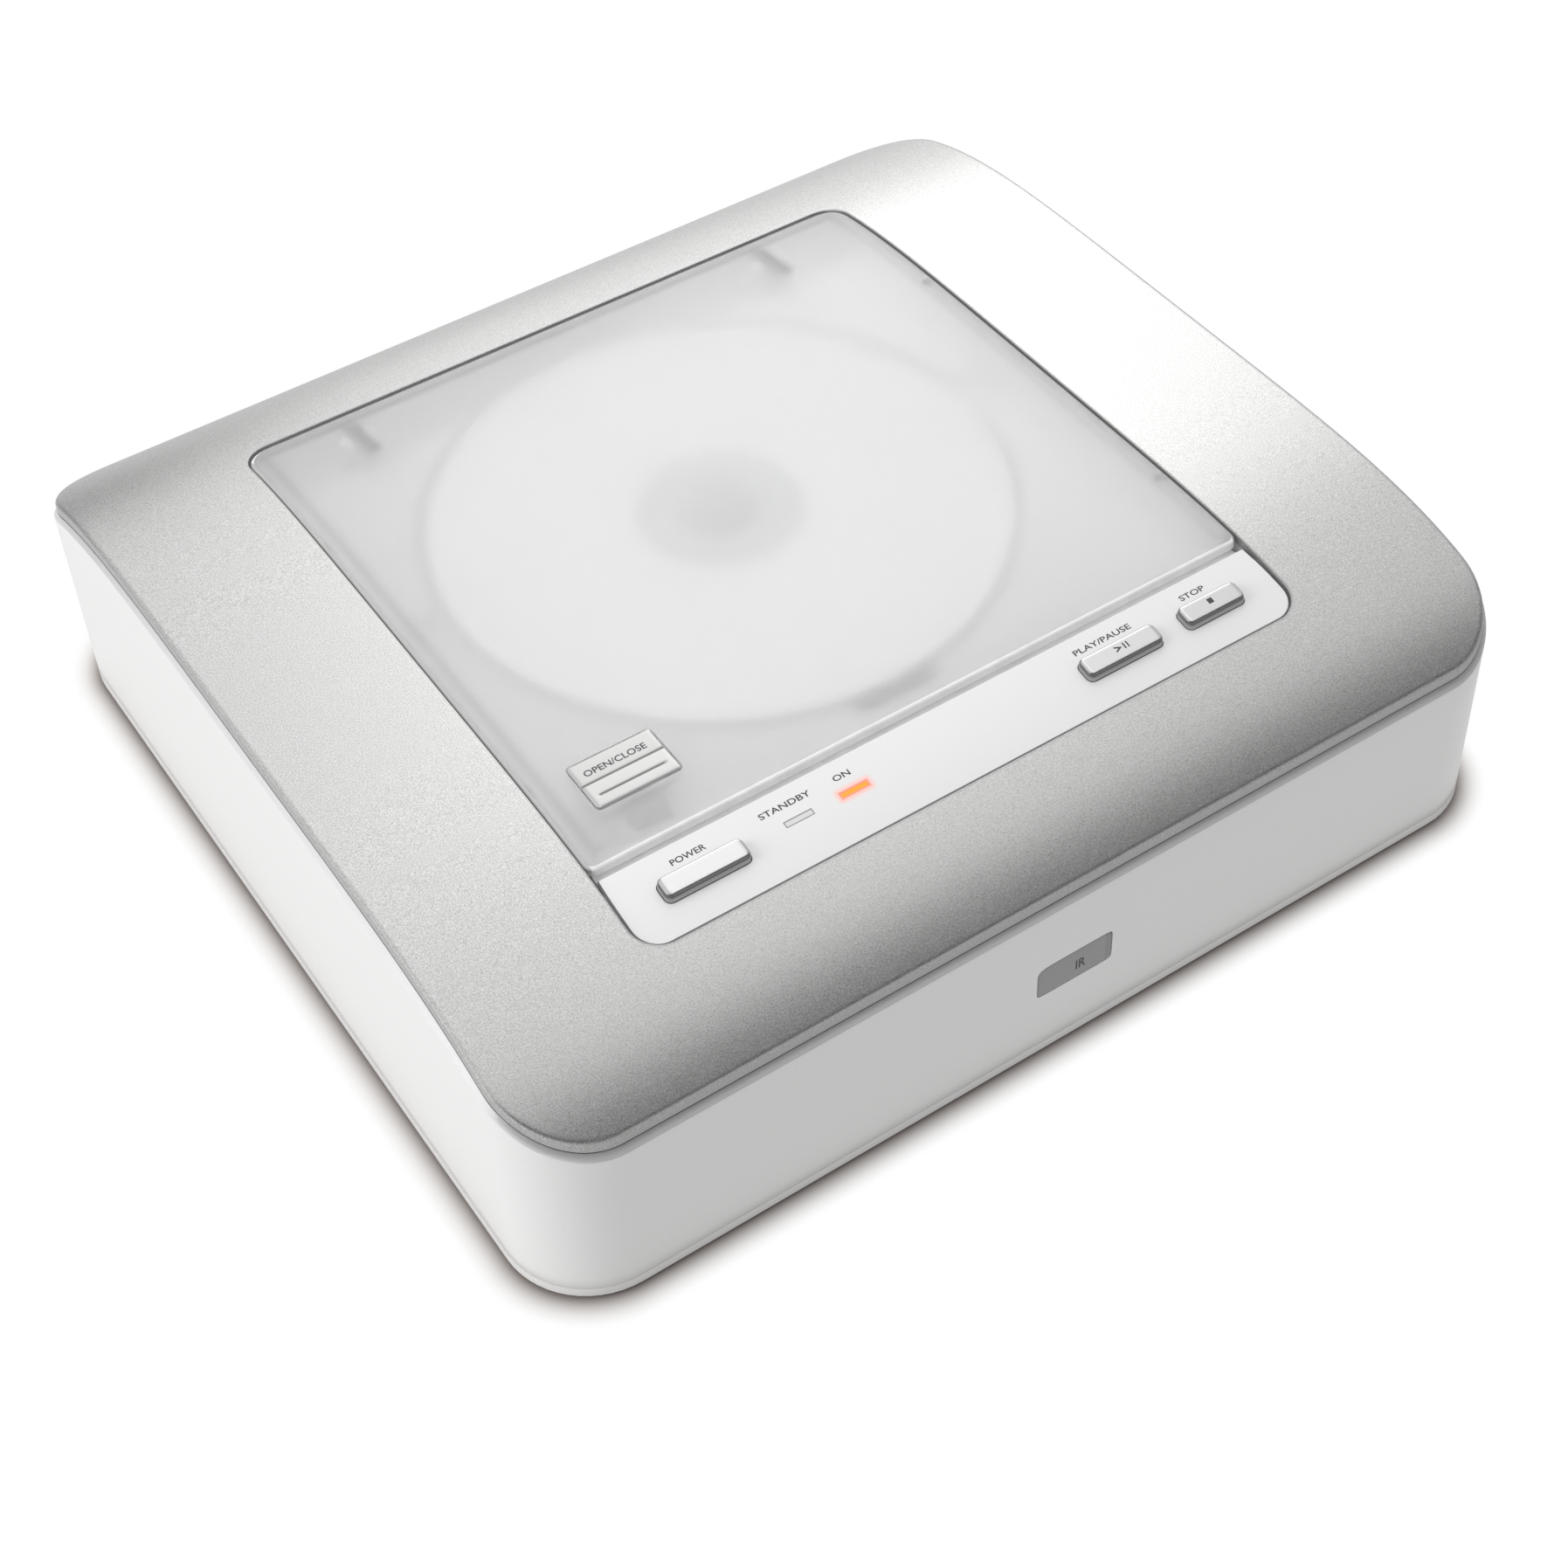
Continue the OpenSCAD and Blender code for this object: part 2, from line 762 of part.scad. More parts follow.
module open_close_key() {
    y0 = open_y - open_key_d / 2;
    y1 = open_y + open_key_d / 2;
    top_z = rim(open_y) + cover_lift;
    color("Silver") {
        intersection() {
            slab(open_x - open_key_w / 2, open_x + open_key_w / 2, y0, y1, 1, 50, 70);
            side_shape(-90, 0)
                polygon([[y0, top_z - 2.4], [y1, top_z - 2.4], [y1, top_z], [open_y + 0.4, top_z + 0.3],
                    [open_y, top_z - 0.5], [open_y - 2.6, top_z - 0.7], [open_y - 2.9, top_z - 0.1],
                    [open_y - 3.6, top_z - 0.1], [open_y - 3.9, top_z - 0.8], [y0, top_z - 0.9]]);
        }
        slab(open_x - open_key_w / 2 - 0.9, open_x + open_key_w / 2 + 0.9, y0 - 0.9, y1 + 0.9, 1.2,
            top_z - lid_t - 1.8, top_z - lid_t - 0.6);
        box(open_x - 2.5, open_x + 2.5, open_y - 2.5, open_y + 2.5,
            latch_top_z + open_key_travel + 0.2, top_z - 2);
    }
}

module latch_tongue() {
    y = open_y - 9.2;
    color("WhiteSmoke")
        intersection() {
            box(open_x - 3, open_x + 3, y - 0.8, y + 0.8, tray_top_z + 0.7, 70);
            under_arch(lid_lift - lid_t - seat);
        }
}

module latch_housing() {
    y = open_y - 9.2;
    color("Gray")
        difference() {
            box(open_x - 6.5, open_x + 6.5, y - 2.2, open_y + 6, tray_top_z + seat, latch_top_z);
            box(open_x - 4, open_x + 4, y - 1.5, y + 1.5, tray_top_z + 0.6, 60);
            box(open_x - 4, open_x + 4, y, open_y + 4.4, tray_top_z + 0.6, 60);
        }
}

module latch_slider() {
    y = open_y - 9.2;
    color("Gold")
        difference() {
            box(open_x - 3.9, open_x + 3.9, y + 1, open_y + 2.4, tray_top_z + 0.7, latch_top_z - 0.2);
            box(open_x - 2, open_x + 2, open_y - 5, open_y - 3, 50, 60);
        }
}

module disc() {
    color("White")
        translate([0, spindle_y, disc_z])
            difference() {
                cylinder(d = disc_d, h = 1.2, $fn = 120);
                translate([0, 0, -1])
                    cylinder(d = 15, h = 4);
            }
}

module turntable() {
    color("Gray")
        translate([0, spindle_y, 0])
            difference() {
                rotate_extrude()
                    polygon([
                        [0, disc_z - 3.6],
                        [10, disc_z - 3.6],
                        [10, disc_z - 1.6],
                        [14.5, disc_z - 1.6],
                        [14.5, disc_z],
                        [7.4, disc_z],
                        [7.4, disc_z + 2],
                        [5.6, disc_z + 3.6],
                        [0, disc_z + 3.6]
                    ]);
                translate([0, 0, disc_z - 0.6])
                    difference() {
                        cylinder(r = 13.5, h = 2);
                        translate([0, 0, -1])
                            cylinder(r = 10.5, h = 4);
                    }
                for (a = [0, 120, 240])
                    rotate([0, 0, a])
                        translate([6.7, 0, disc_z + 1.9])
                            sphere(r = 1.1, $fn = 32);
            }
}

module turntable_pad() {
    color("DimGray")
        translate([0, spindle_y, disc_z - 0.6 + seat])
            difference() {
                cylinder(r = 13.5 - seat, h = 0.6 - 2 * seat);
                translate([0, 0, -1])
                    cylinder(r = 10.5 + seat, h = 4);
            }
}

module hub_balls() {
    color("Silver")
        for (a = [0, 120, 240])
            translate([0, spindle_y, 0])
                rotate([0, 0, a])
                    translate([6.7, 0, disc_z + 1.9])
                        sphere(r = 1, $fn = 32);
}

module spindle_rotor() {
    color("Silver")
        translate([0, spindle_y, 0]) {
            difference() {
                translate([0, 0, frame_z + 3.4])
                    cylinder(r = 13, h = 5.7);
                translate([0, 0, frame_z + 2])
                    cylinder(r = 12, h = 6);
            }
            translate([0, 0, frame_z + 1])
                cylinder(r = 1, h = 8);
        }
}

module spindle_stator() {
    color("Peru")
        translate([0, spindle_y, 0])
            difference() {
                union() {
                    for (a = [0 : 40 : 320])
                        rotate([0, 0, a])
                            translate([5, -1.4, frame_z + 4])
                                cube([5.6, 2.8, 3]);
                    translate([0, 0, frame_z + frame_t + seat])
                        cylinder(r = 5.5, h = 6);
                    translate([0, 0, frame_z - 1.6])
                        cylinder(r = 3.4, h = 5);
                }
                translate([0, 0, frame_z - 0.4])
                    cylinder(r = 1.04, h = 20);
            }
}

module loader_frame() {
    x1 = damper_x + 7;
    y0 = damper_y[0] - 7;
    y1 = damper_y[1] + 7;
    color("Silver")
        difference() {
            union() {
                slab(-x1, x1, y0, y1, 5, frame_z, frame_z + frame_t);
                for (x = [-rod_x, rod_x]) {
                    box(x - 3, x + 3, damper_y[0] - 6, damper_y[0] - 3, frame_z, rod_z + 3);
                    box(x - 3, x + 3, spindle_y, spindle_y + 3, frame_z, rod_z + 3);
                }
                box(screw_x - 7, screw_x + 7, 5, 6.4, frame_z, screw_z + 6);
                box(screw_x - 3, screw_x + 3, damper_y[0] - 6, damper_y[0] - 3, frame_z, screw_z + 3);
            }
            translate([0, spindle_y, 30])
                cylinder(r = 3.6, h = 20);
            slab(-rod_x - 5.5, screw_x + 6, damper_y[0] - 1.5, -1, 2, 30, frame_z + frame_t + eps);
            slab(screw_x - 7.5, screw_x + 7.5, 6.4, 30, 2, 30, frame_z + frame_t + eps);
            for (x = [-rod_x, rod_x])
                rod_hole(x, rod_z, rod_r);
            translate([screw_x, 0, screw_z])
                rotate([-90, 0, 0])
                    cylinder(r = 1.6, h = 20);
            translate([screw_x, damper_y[0] - 5, screw_z])
                rotate([-90, 0, 0])
                    cylinder(r = 1 + run_fit, h = 20);
            for (x = [-damper_x, damper_x])
                for (y = damper_y)
                    translate([x, y, 30])
                        cylinder(r = 1.7, h = 20);
            for (y = [spindle_y - 4, spindle_y + 14])
                slab(-42, -30, y - 6, y + 4, 2, 30, 60);
        }
}

module rod_hole(x, z, r) {
    translate([x, damper_y[0] - 5, z])
        rotate([-90, 0, 0])
            cylinder(r = r, h = spindle_y + 2 - damper_y[0] + 5);
}

module loader_dampers() {
    color("SaddleBrown")
        for (x = [-damper_x, damper_x])
            for (y = damper_y)
                translate([x, y, frame_z + frame_t + seat])
                    difference() {
                        union() {
                            cylinder(r = 4.6, h = 1.4);
                            cylinder(r = 3.6, h = 4 - 2 * seat);
                            translate([0, 0, 4 - 1.4 - 2 * seat])
                                cylinder(r = 4.6, h = 1.4);
                        }
                        translate([0, 0, -1])
                            cylinder(r = 1.7, h = 8);
                    }
}

module loader_screws() {
    color("Silver")
        for (x = [-damper_x, damper_x])
            for (y = damper_y)
                translate([x, y, frame_z]) {
                    translate([0, 0, -1.2 - seat])
                        difference() {
                            cylinder(r = 3, h = 1.2);
                            box(-2, 2, -0.4, 0.4, -1, 0.6);
                        }
                    translate([0, 0, -0.5])
                        cylinder(r = 1.5, h = 8);
                }
}

module guide_rods() {
    color("Silver")
        for (x = [-rod_x, rod_x])
            rod_hole(x, rod_z, rod_r);
}

module pickup_sled() {
    y = spindle_y - lens_r0;
    color("DimGray")
        difference() {
            union() {
                slab(-17, 17, y - 11, y + 9, 3, frame_z, frame_z + 7);
                box(-rod_x - 4, -16, y - 9, y + 7, rod_z - 3, rod_z + 3);
                box(16, rod_x + 4, y - 9, y + 7, rod_z - 3, rod_z + 3);
                box(rod_x + 3, screw_x + 3, y - 4, y + 2, screw_z - 3, screw_z + 3);
                difference() {
                    box(-8, 8, y - 7, y + 7, frame_z + 6, frame_z + 9.3);
                    box(-6.4, 6.4, y - 5.4, y + 5.4, frame_z + 6.6, frame_z + 10);
                }
            }
            for (x = [-rod_x, rod_x])
                translate([x, y - 20, rod_z])
                    rotate([-90, 0, 0])
                        cylinder(r = rod_r + run_fit, h = 40);
            translate([screw_x, y - 20, screw_z])
                rotate([-90, 0, 0])
                    cylinder(r = 1.5 + run_fit, h = 40);
        }
}

module objective_lens() {
    color("SteelBlue")
        translate([0, spindle_y - lens_r0, frame_z]) {
            slab(-5.6, 5.6, -4.6, 4.6, 1, 7.6, 9.4);
            translate([0, 0, 9])
                cylinder(r = 3.4, h = 1.5);
            translate([0, 0, 10])
                cylinder(r1 = 2.9, r2 = 1.6, h = 1);
        }
}

module lead_screw() {
    color("Silver")
        translate([screw_x, 0, screw_z])
            rotate([-90, 0, 0]) {
                translate([0, 0, damper_y[0] - 2])
                    cylinder(r = 1.5, h = 3 - damper_y[0] + 4);
                translate([0, 0, damper_y[0] - 5])
                    cylinder(r = 1, h = 6);
            }
}

module sled_motor() {
    color("Gray")
        translate([screw_x, 6.4 + seat, screw_z])
            rotate([-90, 0, 0])
                difference() {
                    union() {
                        cylinder(r = 5.6, h = 16);
                        cylinder(r = 2.4, h = 17.5);
                    }
                    translate([0, 0, -1])
                        cylinder(r = 1.7, h = 3);
                }
}

function posts(xs, ys, in_back) = [
    for (x = [xs[0] + post_in, xs[1] - post_in])
        for (y = [ys[0] + post_in, ys[1] - in_back])
            [x, y]
];
function main_posts() = posts(main_x, main_y, 3 * post_in);
function power_posts() = posts(power_xs, power_ys, post_in);

module main_board() {
    color("DarkGreen")
        difference() {
            slab(main_x[0], main_x[1], main_y[0], main_y[1], 2, board_z + seat, board_z + board_t);
            for (p = main_posts())
                translate([p[0], p[1], 0])
                    cylinder(r = 1.4, h = 30);
        }
}

module power_board() {
    color("DarkGreen")
        difference() {
            slab(power_xs[0], power_xs[1], power_ys[0], power_ys[1], 2, board_z + seat, board_z + board_t);
            for (p = power_posts())
                translate([p[0], p[1], 0])
                    cylinder(r = 1.4, h = 30);
        }
}

module board_screws() {
    color("Silver")
        for (p = concat(main_posts(), power_posts()))
            translate([p[0], p[1], board_z + board_t + seat]) {
                difference() {
                    cylinder(r = 2.6, h = 1.2);
                    box(-1.8, 1.8, -0.3, 0.3, 0.7, 2);
                    box(-0.3, 0.3, -1.8, 1.8, 0.7, 2);
                }
                translate([0, 0, -6])
                    cylinder(r = 1.2, h = 6.4);
            }
}

module board_chips() {
    z = board_z + board_t + seat;
    color("Black") {
        box(-10, 18, -20, 8, z, z + 3.2);
        box(26, 44, -14, -4, z, z + 2);
        box(-38, -20, -8, 2, z, z + 2);
        box(-6, 14, 26, 34, z, z + 1.6);
        box(34, 52, 28, 42, z, z + 2.6);
        box(52, 70, -40, -30, z, z + 2);
    }
}

// Places and radii of the electrolytic capacitors on the two boards
main_cans = [
    [main_x[0] + 26, 40, 4],
    [main_x[0] + 38, 46, 3],
    [20, 52, 3],
    [30, 60, 3],
    [56, 8, 4],
    [64, 20, 3],
    [main_x[0] + 16, -40, 3]
];
power_cans = [
    [power_xs[0] + 30, power_ys[1] - 16, 6],
    [power_xs[0] + 14, power_ys[1] - 14, 5],
    [power_xs[0] + 12, power_ys[0] + 14, 5]
];

module capacitors() {
    z = board_z + board_t + seat;
    color("MidnightBlue")
        for (p = concat(main_cans, power_cans))
            translate([p[0], p[1], z]) {
                cylinder(r = p[2], h = 2.6 * p[2]);
                cylinder(r = p[2] - 0.5, h = 2.6 * p[2] + 0.3);
            }
}

module transformer() {
    x = power_xs[0] + 10;
    y = power_ys[0] + 26;
    z = board_z + board_t + seat;
    color("Goldenrod") {
        box(x, x + 24, y, y + 28, z, z + 5);
        box(x, x + 24, y, y + 28, z + 13, z + 18);
        box(x + 4, x + 20, y + 4, y + 24, z, z + 18);
    }
}

module jack_panel() {
    x0 = jack_bay_x - jack_bay_w / 2 + seat;
    x1 = jack_bay_x + jack_bay_w / 2 - seat;
    z0 = jack_z - 10 + seat;
    z1 = jack_z + 11 - seat;
    y1 = body_d / 2 - 0.2;
    color("DimGray")
        difference() {
            box(x0, x1, y1 - jack_bay_d - 1.4, y1, board_z + board_t + 0.3, z1);
            box(x0 + 1.4, x1 - 1.4, y1 - jack_bay_d, y1 + 1, board_z + board_t + 1.9, z1 - 1.4);
            for (i = [0 : jack_n - 1])
                translate([jack_bay_x + (i - (jack_n - 1) / 2) * jack_pitch, 80, jack_z])
                    rotate([-90, 0, 0])
                        cylinder(r = 4.8, h = 40);
        }
}

module phono_sockets() {
    y = body_d / 2 - 0.2 - jack_bay_d - 1.4 - seat;
    color("Gold")
        for (i = [0 : jack_n - 1])
            translate([jack_bay_x + (i - (jack_n - 1) / 2) * jack_pitch, y, jack_z]) {
                translate([-6, -9, board_z + board_t + seat - jack_z])
                    cube([12, 9, 15]);
                rotate([-90, 0, 0])
                    difference() {
                        union() {
                            cylinder(r = 4.7, h = 3);
                            cylinder(r = 4.1, h = 10);
                        }
                        translate([0, 0, 1.4])
                            difference() {
                                cylinder(r = 3.6, h = 20);
                                translate([0, 0, -1])
                                    cylinder(r = 2.6, h = 8);
                            }
                        translate([0, 0, 1.4])
                            cylinder(r = 1.6, h = 20);
                    }
            }
}

module mains_inlet() {
    y1 = body_d / 2 - 0.2;
    color("Black")
        difference() {
            box(inlet_x - 11 + seat, inlet_x + 11 - seat, y1 - 20, y1, jack_z - 9 + seat, jack_z + 9 - seat);
            for (s = [-1, 1])
                translate([inlet_x + s * 4.2, y1 - 13, jack_z])
                    rotate([-90, 0, 0])
                        difference() {
                            cylinder(r = 3.9, h = 20);
                            translate([0, 0, -1])
                                cylinder(r = 1.15, h = 12);
                        }
            box(inlet_x - 4.2, inlet_x + 4.2, y1 - 13, y1 + 1, jack_z - 2.4, jack_z + 2.4);
        }
    color("Silver")
        for (s = [-1, 1])
            translate([inlet_x + s * 4.2, y1 - 14, jack_z])
                rotate([-90, 0, 0])
                    cylinder(r = 1.15, h = 11);
}

bottom_cover();
feet();
case_screws();
cabinet();
trim_ring();
top_cover();
deck();
button_panel();
standby_lens();
on_lens();
ir_window();
ir_receiver();
lid();
hinge_arms();
hinge_pins();
lid_bumpers();
open_close_key();
latch_tongue();
latch_housing();
latch_slider();
power_button();
play_pause_button();
stop_button();
key_board();
tact_switches();
indicator_leds();
disc();
turntable();
turntable_pad();
hub_balls();
spindle_rotor();
spindle_stator();
loader_frame();
loader_dampers();
loader_screws();
guide_rods();
pickup_sled();
objective_lens();
lead_screw();
sled_motor();
main_board();
board_chips();
capacitors();
power_board();
transformer();
board_screws();
jack_panel();
phono_sockets();
mains_inlet();
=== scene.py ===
import math

import bpy
import numpy as np
from mathutils import Matrix, Vector


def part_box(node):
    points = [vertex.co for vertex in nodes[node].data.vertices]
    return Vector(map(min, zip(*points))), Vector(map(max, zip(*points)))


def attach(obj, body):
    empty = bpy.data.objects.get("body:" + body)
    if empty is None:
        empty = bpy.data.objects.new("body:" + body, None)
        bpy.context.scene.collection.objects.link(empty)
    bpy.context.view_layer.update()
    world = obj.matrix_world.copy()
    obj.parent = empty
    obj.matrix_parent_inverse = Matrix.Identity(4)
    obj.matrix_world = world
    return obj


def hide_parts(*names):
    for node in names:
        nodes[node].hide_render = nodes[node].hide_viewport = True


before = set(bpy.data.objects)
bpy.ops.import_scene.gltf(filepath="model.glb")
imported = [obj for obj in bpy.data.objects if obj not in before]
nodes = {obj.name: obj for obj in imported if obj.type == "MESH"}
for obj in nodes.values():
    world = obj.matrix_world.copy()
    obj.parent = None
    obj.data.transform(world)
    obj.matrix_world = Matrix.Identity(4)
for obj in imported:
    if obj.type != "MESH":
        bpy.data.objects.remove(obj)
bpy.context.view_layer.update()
scene = bpy.context.scene
MM = 0.001

# ---------------------------------------------------------------------------
# Studio: a white sweep, a camera above the front left corner, soft boxes and
# a room that is bright overhead and dims towards the floor.
# ---------------------------------------------------------------------------
# Heading, tilt below the level and roll in radians; focal length, optical centre and frame side in pixels.
yaw, pitch, roll = 0.556, 0.778, -0.046
focal_px, centre_x, centre_y, frame_px = 3179.11, 896.02, 733.64, 1795
camera_mm = np.array([-214.105, -356.577, 431.316])
ahead = np.array([math.sin(yaw) * math.cos(pitch), math.cos(yaw) * math.cos(pitch), -math.sin(pitch)])
level = np.array([math.cos(yaw), -math.sin(yaw), 0.0])
upward = np.cross(level, ahead)
right = math.cos(roll) * level + math.sin(roll) * upward
down = math.sin(roll) * level - math.cos(roll) * upward

lens = bpy.data.cameras.new("studio_camera")
lens.sensor_width = 36
lens.lens = focal_px / frame_px * lens.sensor_width
lens.shift_x = (frame_px / 2 - centre_x) / frame_px
lens.shift_y = (centre_y - frame_px / 2) / frame_px
lens.clip_start = 0.01
lens.clip_end = 20
camera = bpy.data.objects.new("studio_camera", lens)
scene.collection.objects.link(camera)
turn = np.eye(4)
turn[:3, 0], turn[:3, 1], turn[:3, 2] = right, -down, -ahead
turn[:3, 3] = camera_mm * MM
camera.matrix_world = Matrix(turn.tolist())
scene.camera = camera


def soft_box(name, place, size, power):
    """Square area lamp at a place in metres, aimed at the middle of the player."""
    lamp = bpy.data.lights.new(name, "AREA")
    lamp.shape = "SQUARE"
    lamp.size = size
    lamp.energy = power
    obj = bpy.data.objects.new(name, lamp)
    away = Vector(place) - Vector((0, 0, 0.03))
    obj.matrix_world = Matrix.Translation(place) @ away.to_track_quat("Z", "Y").to_matrix().to_4x4()
    scene.collection.objects.link(obj)
    return obj


soft_box("box_back", (0.80, 1.04, 0.96), 0.7, 2.6)
for lamp in (soft_box("box_overhead", (0.25, 0.60, 1.35), 0.9, 5.0),
             soft_box("box_left", (-1.1, 0.15, 0.55), 0.7, 7.0)):
    lamp.visible_glossy = False


def node(tree, kind, *inputs, **settings):
    """Adds a shader node. Each input is a pair of a socket and its source, which is a value or another
    node's output; the keywords are the node's own settings."""
    added = tree.nodes.new("ShaderNode" + kind)
    for key, value in settings.items():
        setattr(added, key, value)
    for socket, source in inputs:
        if isinstance(source, bpy.types.NodeSocket):
            tree.links.new(source, added.inputs[socket])
        else:
            added.inputs[socket].default_value = source
    return added


def mapped(tree, source, span, onto=(0.0, 1.0), **settings):
    """Output that goes from onto[0] to onto[1] as the source goes over a span, and stays there outside it."""
    ends = [(i + 1, end) for i, end in enumerate((*span, *onto))]
    return node(tree, "MapRange", (0, source), *ends, **settings).outputs[0]


def mixed(tree, share, first, second):
    """Output that goes from the first to the second colour as the share goes from 0 to 1."""
    first, second = ((*c, 1) if isinstance(c, (tuple, list)) else c for c in (first, second))
    return node(tree, "Mix", (0, share), (6, first), (7, second), data_type="RGBA").outputs[2]


world = bpy.data.worlds.new("studio_room")
scene.world = world
world.use_nodes = True
room = world.node_tree
room.nodes.clear()
WHITE = (1, 1, 1, 1)
path = node(room, "LightPath")
way = node(room, "TexCoord").outputs["Generated"]
overhead = node(room, "VectorMath", (0, way), (1, (0.15, 0.34, 0.80)), operation="DOT_PRODUCT")
daylight = mapped(room, overhead.outputs["Value"], (-0.45, 0.80), (0.11, 0.92),
                  interpolation_type="SMOOTHSTEP")
walls = node(room, "Background", (0, daylight))
backdrop = node(room, "Background", (0, WHITE))
straight = node(room, "Math", (0, path.outputs["Is Camera Ray"]), (1, path.outputs["Is Transmission Ray"]),
                operation="MAXIMUM")
plain = node(room, "MixShader", (0, straight.outputs[0]), (1, walls.outputs[0]), (2, backdrop.outputs[0]))
# Mirrored in the paint, the room is dim straight behind the player and bright to either side. Each stop is
# the sideways part of a direction and the brightness there.
stops = ((-0.35, 0.59), (0.02, 0.29), (0.18, 0.47), (0.27, 0.95), (0.36, 0.79), (0.46, 0.66), (0.60, 0.36))
sideways = node(room, "SeparateXYZ", (0, way)).outputs[0]
lit = node(room, "ValToRGB", (0, mapped(room, sideways, (-1.0, 1.0))))
for i, (x, value) in enumerate(stops):
    stop = lit.color_ramp.elements[i] if i < 2 else lit.color_ramp.elements.new(1.0)
    stop.position, stop.color = (x + 1) / 2, (value, value, value, 1)
sheen = node(room, "Background", (0, lit.outputs[0]), (1, 1.62))
mirrored = node(room, "MixShader", (0, path.outputs["Is Glossy Ray"]), (1, plain.outputs[0]),
                (2, sheen.outputs[0]))
node(room, "OutputWorld", (0, mirrored.outputs[0]))

scene.view_settings.view_transform = "Standard"


def new_material(name, color, rough, metal=0.0, **sockets):
    """Principled material, given back with its shader and node tree. Further keywords set the shader's own
    sockets by name."""
    m = bpy.data.materials.new(name)
    m.use_nodes = True
    shader = m.node_tree.nodes["Principled BSDF"]
    shader.inputs["Base Color"].default_value = (*color, 1)
    shader.inputs["Roughness"].default_value = rough
    shader.inputs["Metallic"].default_value = metal
    for key, value in sockets.items():
        shader.inputs[key.replace("_", " ")].default_value = value
    return m, shader, m.node_tree


def stage_sheet(name, corners, material):
    """Flat sheet of the studio, with four corners in metres."""
    sheet = bpy.data.meshes.new(name)
    sheet.from_pydata(corners, [], [(0, 1, 2, 3)])
    sheet.materials.append(material)
    obj = bpy.data.objects.new(name, sheet)
    scene.collection.objects.link(obj)
    return obj


# The sweep is white paper. Round the player it takes light and shadow; there its colour is a darker grey, a
# painted deepening of the shadow, and darker still where the body nearly touches it, a painted contact
# shadow. From there outwards it glows plain white. Distances are in metres from the player's outline drawn in
# by its corner radius of
# 18 mm, so 0.018 is the outline.
DRAWN_IN = (0.0945, 0.089, 0)
CONTACT_SHADOW_SPAN, PAPER_TO_GLOW = (0.0180, 0.0215), (0.0170, 0.0245)
sweep, shader, tree = new_material("white_sweep", (0.54, 0.51, 0.49), 0.8)
away = node(tree, "TexCoord").outputs["Object"]
for step, other in (("ABSOLUTE", (0, 0, 0)), ("SUBTRACT", DRAWN_IN), ("MAXIMUM", (0, 0, 0))):
    away = node(tree, "VectorMath", (0, away), (1, other), operation=step).outputs["Vector"]
away = node(tree, "VectorMath", (0, away), operation="LENGTH").outputs["Value"]
# Painted shadow: a darker grey paper round the player, and darker still at the outline as a painted contact
# shadow.
painted_contact_shadow, darkened_paper = (0.27, 0.235, 0.22), (0.55, 0.505, 0.48)
tree.links.new(mixed(tree, mapped(tree, away, CONTACT_SHADOW_SPAN), painted_contact_shadow, darkened_paper), shader.inputs["Base Color"])
seen_straight = node(tree, "LightPath").outputs["Is Camera Ray"]
glow = node(tree, "Emission", (0, WHITE), (1, mapped(tree, seen_straight, (0.0, 1.0), (0.72, 1.0))))
past_shadow = mapped(tree, away, PAPER_TO_GLOW, interpolation_type="SMOOTHSTEP")
blend = node(tree, "MixShader", (0, past_shadow), (1, shader.outputs[0]), (2, glow.outputs[0]))
tree.links.new(blend.outputs[0], tree.nodes["Material Output"].inputs[0])
stage_sheet("floor", [(-6, -6, 0), (6, -6, 0), (6, 6, 0), (-6, 6, 0)], sweep)

# Two black flags that only reflections see: one overhead in front, one low behind on the left.
cloth = new_material("black_cloth", (0.02, 0.02, 0.02), 0.9)[0]
flags = {"flag_overhead": [(-2, -3, 1.1), (-2, -0.50, 1.1), (3, -0.50, 1.1), (3, -3, 1.1)],
         "flag_behind": [(-1.2, 1.2, 0.01), (-1.2, 1.2, 0.45), (0.20, 1.2, 0.45), (0.20, 1.2, 0.01)]}
for name, corners in flags.items():
    flag = stage_sheet(name, corners, cloth)
    for kind in ("camera", "diffuse", "transmission", "shadow", "volume_scatter"):
        setattr(flag, "visible_" + kind, False)

# ---------------------------------------------------------------------------
# Cabinet: a moulded tub wall of gloss white plastic, open above and below,
# whose top edge follows the arch. The bottom cover closes it from below.
# ---------------------------------------------------------------------------
WIDTH, DEPTH, CORNER = 225.0, 214.0, 18.0
RIM, RISE, POWER = 40.3, 15.9, 4.7
WALL = 2.2


def rim(y):
    """Height of the cabinet's edge: rim + rise * (1 - |2y / depth| ^ power)."""
    return RIM + RISE * (1 - np.minimum(1, np.abs(2 * y / DEPTH)) ** POWER)


